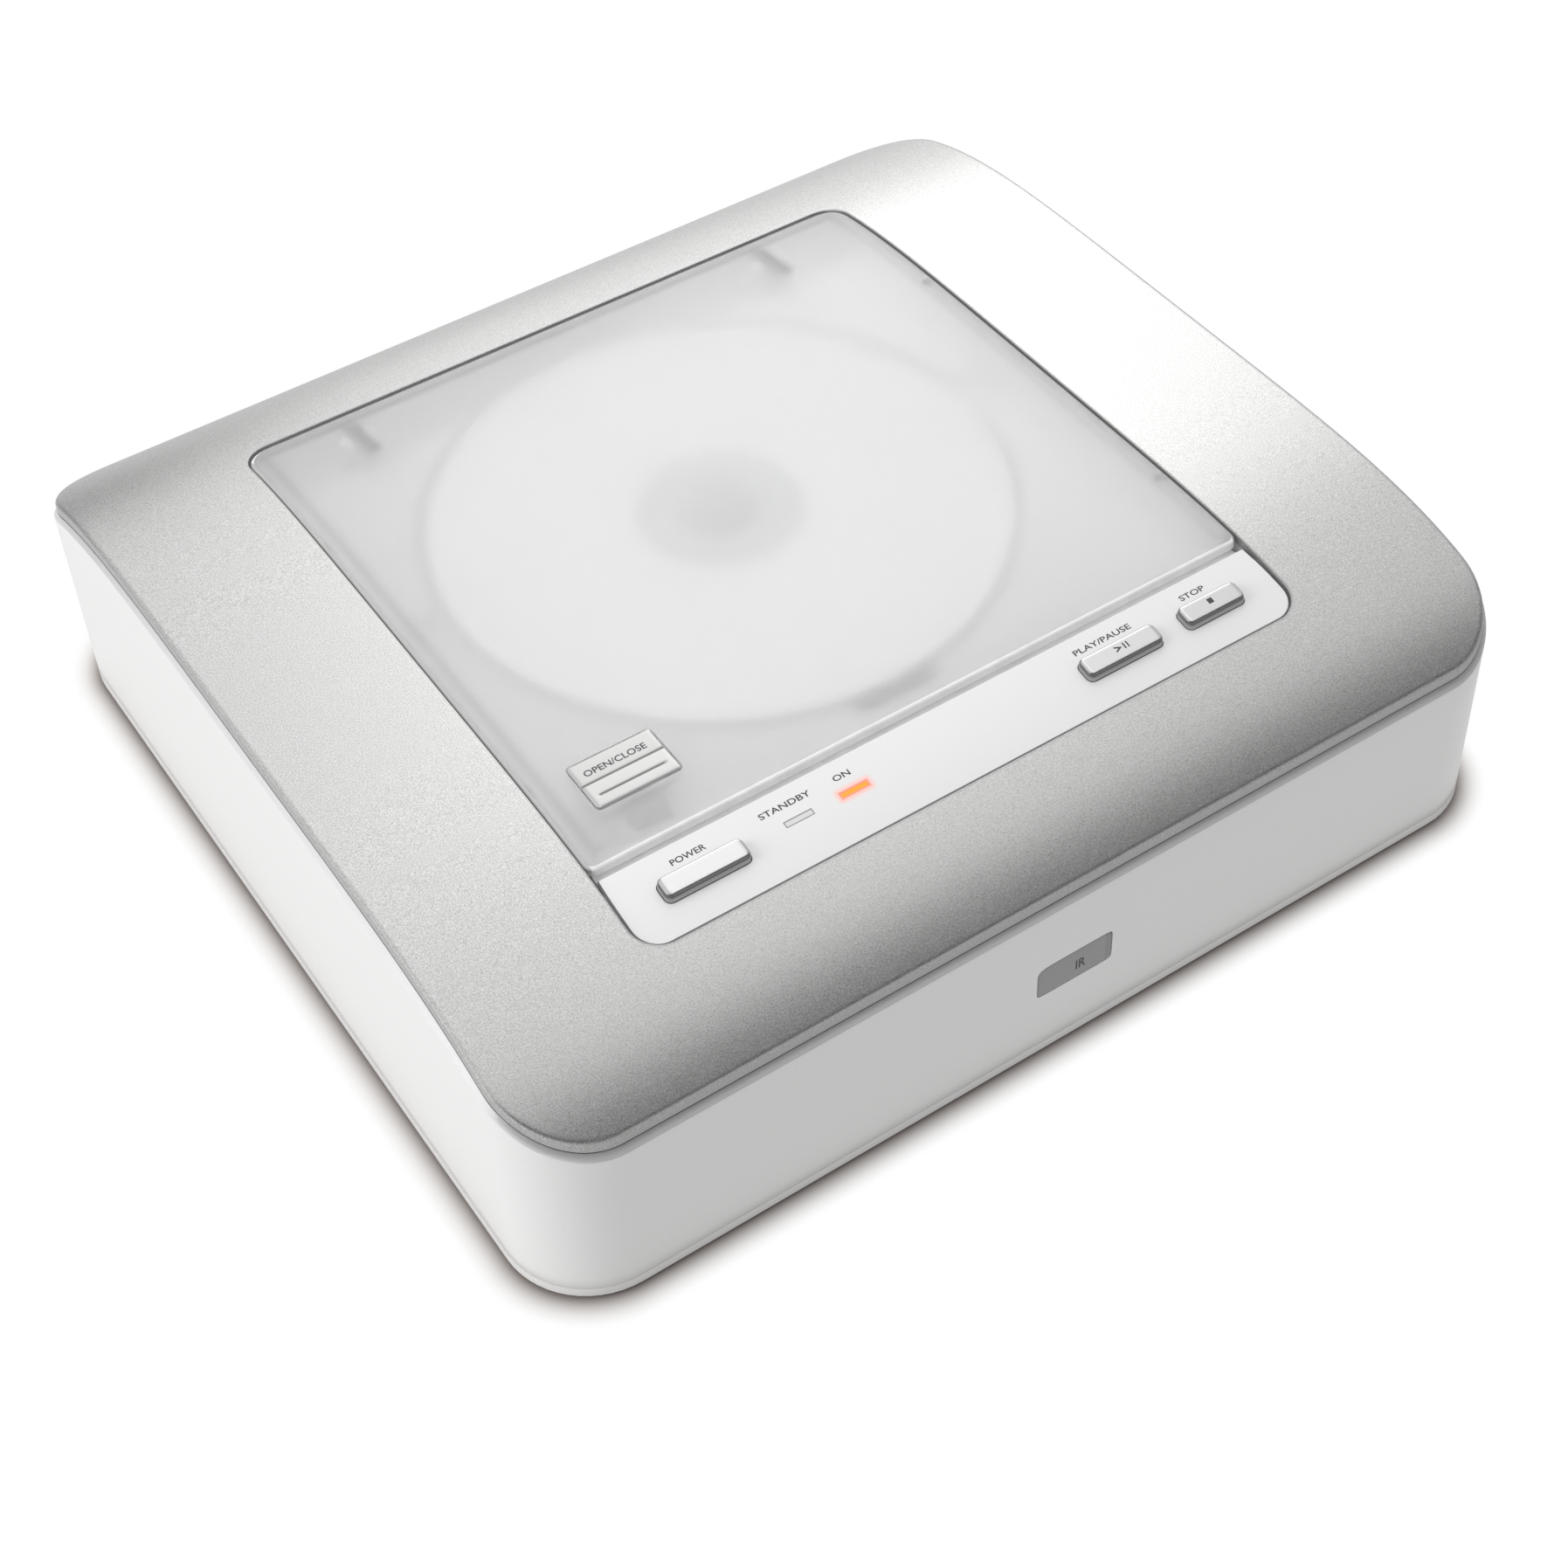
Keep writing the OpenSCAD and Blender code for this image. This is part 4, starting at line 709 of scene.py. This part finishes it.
# ---------------------------------------------------------------------------
# Keys: plated plastic caps with a flat top and bevelled sides. Each slides in
# its hole in the panel and presses a switch on the board below.
# ---------------------------------------------------------------------------
plated, shader, tree = new_material("satin_plated", (0.80, 0.80, 0.80), 0.2, 0.75)
tooth(tree, shader, 2200, 0.4, 0.000006, rough=(0.16, 0.24))
# Painted shade: the keys' sides are painted dark, standing in for shade and dark reflections on them.
tree.links.new(mixed(tree, marked(tree, "painted_flank_shade"), (0.70, 0.70, 0.70), (0.12, 0.12, 0.12)),
               shader.inputs["Base Color"])
KEY_PROUD, KEY_R = 1.75, 1.4


def capped(rows):
    """Closed lump from rows of points: the rows are joined in order, and each end is a fan to its mean
    point."""
    m, n = rows.shape[:2]
    pts = np.concatenate([rows.reshape(-1, 3), rows[:1].mean(1), rows[-1:].mean(1)])
    j = np.arange(n)
    k = (j + 1) % n
    last = (m - 1) * n
    start = np.stack([np.full(n, m * n), k, j, j], 1)
    end = np.stack([np.full(n, m * n + 1), j + last, k + last, k + last], 1)
    return pts, np.concatenate([ring_faces(m, n, False), start, end])


def stepped(x0, x1, y0, y1, r, section, **steps):
    """One row for each (inset, height) pair of a section: a rounded rectangle that is smaller by the inset
    on each side, its corner radius less the inset but never under 0.15. Height is as for swept."""
    rows = []
    for inset, height in section:
        corners = np.maximum(np.asarray(r, float) - inset, 0.15)
        p, _ = outline(x0 + inset, x1 - inset, y0 + inset, y1 - inset, corners, **steps)
        z = height(p[:, 1]) if callable(height) else np.full(len(p), height)
        rows.append(np.column_stack([p, z]))
    return np.stack(rows)


def on_slope(height):
    """Height function for stepped: flat from side to side, with the panel's slope from front to back."""
    return lambda y: height + key_slope * (y - KEY_Y)


key_top = panel_top(KEY_Y) + KEY_PROUD
key_slope = float(panel_top(KEY_Y + 2) - panel_top(KEY_Y - 2)) / 4
# Inset, lift from the top and painted shade of each row of a key, from its foot to its top.
key_rows = [(0.0, -6.4, 0.25), (0.0, -2.2, 0.25), (0.02, -1.7, 0.3), (0.08, -1.0, 0.6), (0.18, -0.5, 0.95),
            (0.3, -0.24, 0.9), (0.48, -0.08, 0.2), (0.75, 0.0, 0.0), (1.3, 0.0, 0.0), (2.2, 0.0, 0.0)]
key_section = [(inset, on_slope(key_top + lift)) for inset, lift, _ in key_rows]
for name, (x, w) in KEYS.items():
    rows = stepped(*cuts(x, w, -KEY_SLIM), *cuts(KEY_Y, KEY_D, -KEY_SLIM), KEY_R, key_section,
                   xs=10, ys=6, corner=8)
    mesh = mesh_of(name, *capped(rows))
    mark(mesh, "painted_flank_shade", np.append(np.repeat([tone for _, _, tone in key_rows], rows.shape[1]), (0, 0)))
    key = finished(name + "_key_cap", mesh, plated, name + "_button")
    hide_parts(name + "_button")

# ---------------------------------------------------------------------------
# Lamp lenses: two slim bars in the panel. The standby one is unlit, the other
# glows amber, with a painted glow on the panel round it.
# ---------------------------------------------------------------------------
grey_lens, shader, tree = new_material("grey_lens", (0.60, 0.60, 0.60), 0.25, Coat_Weight=0.5)
tooth(tree, shader, 1500, 0.5, 0.00001)
tinted_near(tree, shader.inputs["Base Color"], (0.25, 0.25, 0.25), (0.62, 0.62, 0.62),
            [(LAMPS["standby"], LAMP_Y, LAMP_W / 2 - 0.32, LAMP_D / 2 - 0.32, 0.18)])
dress("standby_lens", grey_lens)
amber_lens, shader, tree = new_material("amber_lens", (0.85, 0.18, 0.01), 0.3, Emission_Strength=0.5)
tooth(tree, shader, 1500, 0.5, 0.00001)
core = [(LAMPS["on"], LAMP_Y, LAMP_W / 2 - 0.4, 0.3, 0.25)]
tinted_near(tree, shader.inputs["Base Color"], (0.96, 0.27, 0.18), (0.85, 0.22, 0.01), core)
tinted_near(tree, shader.inputs["Emission Color"], (0.40, 0.07, 0.04), (1.0, 0.33, 0.01), core)
dress("on_lens", amber_lens)

# ---------------------------------------------------------------------------
# IR window: a block of smoked plastic, pressed into its hole in the front wall
# before the receiver.
# ---------------------------------------------------------------------------
smoked, shader, tree = new_material("smoked_window", (0.28, 0.28, 0.28), 0.22, Coat_Weight=0.4)
tooth(tree, shader, 1500, 0.5, 0.00001, rough=(0.2, 0.28))
window_front = -DEPTH / 2
# Painted shade: a darker strip at the window's right end stands in for the shade in its recess.
tinted_near(tree, shader.inputs["Base Color"], (0.28, 0.28, 0.28), (0.23, 0.23, 0.23),
            [(WINDOW["cx"] + WINDOW["w"] / 2 - 0.8, window_front, 0.75, 5.0, 0.08)])
step = np.linspace(-1, 1, 24, endpoint=False)
flat = np.ones_like(step)
square = np.hstack([(step, -flat), (flat, step), (-step, flat), (-flat, -step)]).T
window_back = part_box("ir_window")[1][1] / MM
window_face = window_front + 0.05
window_rows = []
for inset, y in ((0.15, window_back), (0.15, window_front + 0.3), (0.2, window_front + 0.14),
                 (0.35, window_front + 0.06), (0.8, window_face)):
    hole = dict(WINDOW, w=WINDOW["w"] - 2 * inset, h=WINDOW["h"] - 2 * inset)
    loop = np.column_stack([hole["cx"] + square[:, 0] * hole["w"] / 2, np.full(len(square), y),
                            hole["cz"] + square[:, 1] * hole["h"] / 2])
    window_rows.append(rounded_loop(loop, **hole))
window_mesh = mesh_of("window_block", *capped(np.stack(window_rows)))
window = finished("window_block", window_mesh, smoked, "housing")
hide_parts("ir_window")

# ---------------------------------------------------------------------------
# Lid: one arched pane of frosted clear plastic with a ground, bevelled edge and
# a hole for the open/close key. Two hinge arms are glued under its back.
# ---------------------------------------------------------------------------
LID = (-74.75, 74.75, -63.6, 77.6)
LID_LIFT = top - LID_SINK
LID_R = (5.6, 5.6, 2.0, 2.0)
BEVEL, BORDER = 0.7, 2.0
# The open/close key's centre, width and depth, and the gap and corner radius of its hole.
kx, ky, kw, kd, KEY_FIT, HOLE_CORNER = -56.9, -46.6, 18.0, 11.8, 0.25, 1.2
slot_line, _ = outline(*cuts(kx, kw, KEY_FIT), *cuts(ky, kd, KEY_FIT), HOLE_CORNER, corner=12)
bevel_rows = [(0.0, -LID_T + 0.3), (0.0, -0.45), (0.06, -0.32), (0.3, -0.12), (BEVEL, 0.0),
              (BORDER - 0.4, 0.0)]
lid_outer = stepped(*LID, LID_R, [(inset, over_rim(LID_LIFT + z)) for inset, z in bevel_rows], corner=12)
inner_edge, foot_edge = stepped(*LID, LID_R, [(BORDER, 0), (0.3, 0)], corner=12)[..., :2]
TOP_ROWS, LOW_ROWS, GROUND_ROWS = 80, 60, 4
lid_top = between(inner_edge, slot_line, np.linspace(0, 1, TOP_ROWS) ** 1.5, LID_LIFT)
lid_low = between(slot_line, foot_edge, np.linspace(0, 1, LOW_ROWS), LID_LIFT - LID_T)
lid_rows = np.concatenate([lid_outer, lid_top, lid_low])
lid_mesh = mesh_of("lid_pane", lid_rows, ring_faces(*lid_rows.shape[:2]))
# Frost is 2 on the ground edge, 1 on the top and 0.6 below. Shade darkens the outermost strip and a rib
# under the pane a little further in, at the left, the right and the back.
RIB_IN, RIB_W, SHADED_IN = 3.4, 1.3, 0.9
frost = np.ones(lid_rows.shape[:2])
frost[:GROUND_ROWS - 1] = 2.0
frost[-LOW_ROWS:] = 0.6
mark(lid_mesh, "frost", frost)
from_left, from_right = lid_rows[..., 0] - LID[0], LID[1] - lid_rows[..., 0]
inward = np.minimum(np.minimum(from_left, from_right), LID[3] - lid_rows[..., 1])
sunk = rim(lid_rows[..., 1]) + LID_LIFT - lid_rows[..., 2]
shade = np.exp(-((inward - RIB_IN) / RIB_W) ** 2) * (sunk < 0.1)
shade += 0.7 * (inward < SHADED_IN) * (sunk < 0.6)
mark(lid_mesh, "rib_shade", shade)
frosted, shader, tree = new_material("frosted_pane", (0.99, 0.99, 0.99), 0.3, IOR=1.45,
                                     Transmission_Weight=0.76)
tooth(tree, shader, 500, 0.5, 0.00001)
tree.links.new(mapped(tree, marked(tree, "frost"), (0.0, 2.0), (0.2, 0.54)), shader.inputs["Roughness"])
pane_tint = mixed(tree, marked(tree, "rib_shade"), (0.99, 0.99, 0.99), (0.82, 0.82, 0.83))
# Over the two hinge arms the pane is painted darker: painted shade standing in for the dark arms and the
# shade under them seen through it.
ARM_HALF, MARK_HALF = 1.5, 5.0
arms_low, arms_high = box_mm("hinge_arms")
arm_x = arms_high[0] - ARM_HALF
tinted_near(tree, shader.inputs["Base Color"], pane_tint, (0.78, 0.78, 0.785),
            [(x, arms_low[1] + MARK_HALF, 0.6, MARK_HALF, 2.0) for x in (-arm_x, arm_x)])
lid = finished("lid_pane", lid_mesh, frosted, "lid")
cut_edge, shader, tree = new_material("pane_edge", (0.90, 0.90, 0.895), 0.35, Coat_Weight=0.3)
tooth(tree, shader, 260, 1.0, 0.00003, spread=0.05)
toned(tree, shader, marked(tree, "rib_shade"), 0.25)
lid_mesh.materials.append(cut_edge)
ground = np.arange(len(lid_mesh.polygons)) < GROUND_ROWS * lid_rows.shape[1]
lid_mesh.polygons.foreach_set("material_index", ground.astype(np.int32))
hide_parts("lid")
coloured("hinge_arms latch_tongue latch_slider",
         "arm_grey", (0.05, 0.05, 0.05), 0.5, (1400, 0.5, 0.00002), spread=0.03)

# ---------------------------------------------------------------------------
# Open/close key: a plated plate in the lid, with a groove right across its
# middle and a shorter one in front, where the fingertip presses.
# ---------------------------------------------------------------------------
key_white, shader, tree = new_material("satin_silver_white", (0.54, 0.54, 0.535), 0.3, 0.55)
tooth(tree, shader, 700, 0.4, 0.000004, rough=(0.28, 0.32), spread=0.01)
PLATE_LIFT, PLATE_FOOT, PLATE_RISE, PLATE_ROUND, PLATE_R = 0.05, -3.6, 0.25, 0.35, 1.0
GROOVE_Y, GROOVE_DEEP, GROOVE_W = 0.3, 0.3, 0.14
GRIP_Y, GRIP_DEEP, GRIP_W, GRIP_HALF = -3.1, 0.28, 0.2, 7.1


def plate_lines(size, n, *further):
    """Grid lines over a size: n even ones, more at both edges, and the further ones given."""
    edge = size / 2
    return grid_lines(np.linspace(0.5 - edge, edge - 0.5, n), cuts(0, size, 0), cuts(0, size, -0.12), further)


line_x = plate_lines(kw, 40, -6.9, 6.9)
line_y = plate_lines(kd, 30, 0.05, 0.2, 0.35, 0.5, -3.5, -3.3, -3.1, -2.9, -2.7)
gx, gy = np.meshgrid(line_x, line_y)
# The top is the arch with a slight rise to the front, less both grooves and a quarter round at the edge. A
# groove is a bell exp(-(y / w)^2).
side_gap = np.minimum(kw / 2 - np.abs(gx), kd / 2 - np.abs(gy))
off_edge = np.maximum(PLATE_ROUND - side_gap, 0)
edge_round = PLATE_ROUND - np.sqrt(np.maximum(PLATE_ROUND ** 2 - off_edge ** 2, 0))
groove = GROOVE_DEEP * np.exp(-((gy - GROOVE_Y) / GROOVE_W) ** 2)
grip = GRIP_DEEP * np.exp(-((gy - GRIP_Y) / GRIP_W) ** 2) * (np.abs(gx) < GRIP_HALF)
ramp_up = PLATE_RISE * np.clip(-gy / (kd / 2), 0, 1)
plate_z = rim(gy + ky) + top + PLATE_LIFT + ramp_up - grip - groove - edge_round
# Points outside a corner's circle move in to it.
straight = np.array([kw / 2, kd / 2]) - PLATE_R
flat = np.stack([gx, gy], -1)
over = np.maximum(np.abs(flat) - straight, 0)
far = np.linalg.norm(over, axis=-1, keepdims=True)
pull = np.where(far > PLATE_R, PLATE_R / np.maximum(far, 1e-9), 1)
px, py = np.moveaxis(np.where(over > 0, np.sign(flat) * (straight + over * pull), flat) + [kx, ky], -1, 0)
plate_low = np.full_like(plate_z, rim(ky) + top + PLATE_FOOT)
whole = np.ones((len(line_y) - 1, len(line_x) - 1), bool)
plate_mesh = mesh_of("open_close_plate", *plate_with_holes(px, py, plate_z, plate_low, whole))
open_key = finished("open_close_plate", plate_mesh, key_white, "open_close_key", crease=55)
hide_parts("open_close_key")

# ---------------------------------------------------------------------------
# Legends: function words and signs in grey ink, printed a few hundredths of a
# millimetre thick on the panel, the keys and the window.
# ---------------------------------------------------------------------------
ink, shader, tree = new_material("grey_ink", (0.05, 0.05, 0.052), 0.5)
tooth(tree, shader, 3000, 0.5, 0.00001, spread=0.1)
PRINT = 0.02


def printed(name, flat, faces, surface, body):
    """Thin closed print from flat points and faces: surface(points, lift) lays them on the part, a few
    hundredths above it and as much below. Walls stand on the edges that only one face has."""
    n = len(flat)
    pts = np.concatenate([surface(flat, PRINT), surface(flat, -PRINT)]) * MM
    mesh = bpy.data.meshes.new(name)
    low = [[v + n for v in f[::-1]] for f in faces]
    edges = dict.fromkeys((a, b) for f in faces for a, b in zip(f, f[1:] + f[:1]))
    walls = [[b, a, a + n, b + n] for a, b in edges if (b, a) not in edges]
    mesh.from_pydata(pts.tolist(), [], faces + low + walls)
    mesh.update()
    return finished(name, mesh, ink, body, crease=30)


def word(name, text, x0, x1, y0, height, surface, body):
    """Word in plain capitals, stretched to reach from x0 to x1, with its capitals from y0 up to a height."""
    curve = bpy.data.curves.new(name, "FONT")
    curve.body = text
    curve.resolution_u = 4
    curve.offset = 0.012
    temp = bpy.data.objects.new(name, curve)
    scene.collection.objects.link(temp)
    letters = bpy.data.meshes.new_from_object(temp.evaluated_get(bpy.context.evaluated_depsgraph_get()))
    flat = np.array([v.co[:2] for v in letters.vertices])
    faces = [list(f.vertices) for f in letters.polygons]
    bpy.data.objects.remove(temp)
    flat -= flat.min(0)
    flat *= np.array([(x1 - x0), height]) / flat.max(0)
    return printed(name, flat + [x0, y0], faces, surface, body)


def on_panel(p, lift):
    """Points (x, y) laid on the button panel."""
    return np.column_stack([p, panel_top(p[:, 1]) + lift])


def on_key(p, lift):
    """Points (x, y) laid on the flat top of a key, which slopes as the panel does."""
    return np.column_stack([p, key_top + key_slope * (p[:, 1] - KEY_Y) + lift])


def on_plate(p, lift):
    """Points (x, y) laid on the open/close key, on the arch."""
    return np.column_stack([p, rim(p[:, 1]) + top + PLATE_LIFT + lift])


def on_window(p, lift):
    """Points (x, z) laid on the upright face of the window."""
    return np.column_stack([p[:, 0], np.full(len(p), window_face - lift), p[:, 1]])


word("legend_power", "POWER", -61.2, -53.9, -69.9, 1.3, on_panel, "housing")
word("legend_standby", "STANDBY", -42.4, -31.4, -70.0, 1.3, on_panel, "housing")
word("legend_on", "ON", -26.2, -22.6, -70.0, 1.3, on_panel, "housing")
word("legend_play_pause", "PLAY/PAUSE", 29.4, 42.9, -69.9, 1.3, on_panel, "housing")
word("legend_stop", "STOP", 55.3, 61.2, -69.9, 1.3, on_panel, "housing")
word("legend_open_close", "OPEN/CLOSE", kx - 6.9, kx + 6.3, ky + 1.9, 1.5, on_plate, "open_close_key")
word("legend_ir", "IR", 2.3, 4.6, 19.8, 2.6, on_window, "housing")


def bar(x0, x1, y0, y1):
    """Corners of a bar, anticlockwise."""
    return [(x0, y0), (x1, y0), (x1, y1), (x0, y1)]


arrow = [(35.8, -74.4), (37.4, -73.7), (35.8, -73.0), (35.8, -73.35), (36.6, -73.7), (35.8, -74.05)]
signs = {"stop": ("sign_stop", [bar(58.5, 59.7, -74.3, -73.1)]),
         "play_pause": ("sign_play", [arrow, bar(37.8, 38.1, -74.4, -73.0), bar(38.6, 38.9, -74.4, -73.0)])}
for key, (name, loops) in signs.items():
    ends = np.cumsum([0] + [len(loop) for loop in loops]).tolist()
    faces = [list(range(start, end)) for start, end in zip(ends, ends[1:])]
    printed(name, np.concatenate(loops), faces, on_key, key + "_button")

# ---------------------------------------------------------------------------
# Disc: a plain white printed disc with a clear hub, on a grey turntable with a
# rubber ring and three spring balls.
# ---------------------------------------------------------------------------
disc_white, shader, tree = new_material("disc_label", (0.93, 0.93, 0.93), 0.35, Coat_Weight=0.3)
tooth(tree, shader, 1500, 0.3, 0.00001)
# The hub shows darker up to a radius of 17.1 mm; the disc's axis is 10 mm behind the player's middle.
HUB_SPAN, AXIS_Y = (0.0171, 0.0183), 0.010
place = node(tree, "Mapping", (0, node(tree, "TexCoord").outputs["Object"]), ("Location", (0, -AXIS_Y, 0)))
spoke = node(tree, "VectorMath", (0, place.outputs[0]), (1, (1, 1, 0)), operation="MULTIPLY").outputs[0]
radius = node(tree, "VectorMath", (0, spoke), operation="LENGTH").outputs["Value"]
tree.links.new(mixed(tree, mapped(tree, radius, HUB_SPAN), (0.62, 0.625, 0.63), (0.94, 0.94, 0.94)),
               shader.inputs["Base Color"])
dress("disc", disc_white)
coloured("turntable latch_housing",
         "grey_plastic", (0.52, 0.52, 0.53), 0.5, (1400, 0.6, 0.00002), spread=0.05)

# ---------------------------------------------------------------------------
# Mechanism: bright steel rods, screws, pins, motor cans and loader frame; black
# plastic sled with a coated lens; brown rubber dampers; copper coils.
# ---------------------------------------------------------------------------
coloured("case_screws hinge_pins hub_balls spindle_rotor loader_frame loader_screws guide_rods "
         "lead_screw sled_motor board_screws",
         "zinc_steel", (0.63, 0.63, 0.64), 0.32, (900, 0.6, 0.00002), metal=1.0, span=(0.25, 0.42),
         spread=0.05)
coloured("pickup_sled tact_switches board_chips jack_panel mains_inlet",
         "black_plastic", (0.025, 0.025, 0.027), 0.45, (1400, 0.8, 0.00002), span=(0.4, 0.52), spread=0.1)
coloured("objective_lens",
         "coated_lens", (0.35, 0.45, 0.75), 0.08, (1500, 0.2, 0.00001), Transmission_Weight=0.6)
coloured("loader_dampers", "brown_rubber", (0.16, 0.07, 0.04), 0.7, (1500, 0.8, 0.00003), spread=0.1)
coloured("spindle_stator transformer",
         "copper_winding", (0.55, 0.25, 0.10), 0.4, (2500, 1.0, 0.00005), metal=0.8, spread=0.25)

# ---------------------------------------------------------------------------
# Boards: green laminate with black chips, blue sleeved cans and lamps of clear
# resin, screwed to their posts.
# ---------------------------------------------------------------------------
coloured("key_board main_board power_board ir_receiver",
         "green_laminate", (0.02, 0.16, 0.07), 0.4, (700, 0.5, 0.00002), spread=0.2, Coat_Weight=0.4)
coloured("capacitors", "blue_sleeve", (0.02, 0.03, 0.16), 0.35, (1400, 0.4, 0.00001), spread=0.1)
coloured("indicator_leds", "clear_resin", (0.9, 0.85, 0.7), 0.15, (1400, 0.2, 0.00001), spread=0.03)

# ---------------------------------------------------------------------------
# Rear sockets: plated phono sockets, pressed into a black bay beside the mains
# inlet.
# ---------------------------------------------------------------------------
coloured("phono_sockets", "plated_brass", (0.78, 0.66, 0.38), 0.25, (1600, 0.5, 0.00001), metal=1.0,
         span=(0.2, 0.3), spread=0.05)
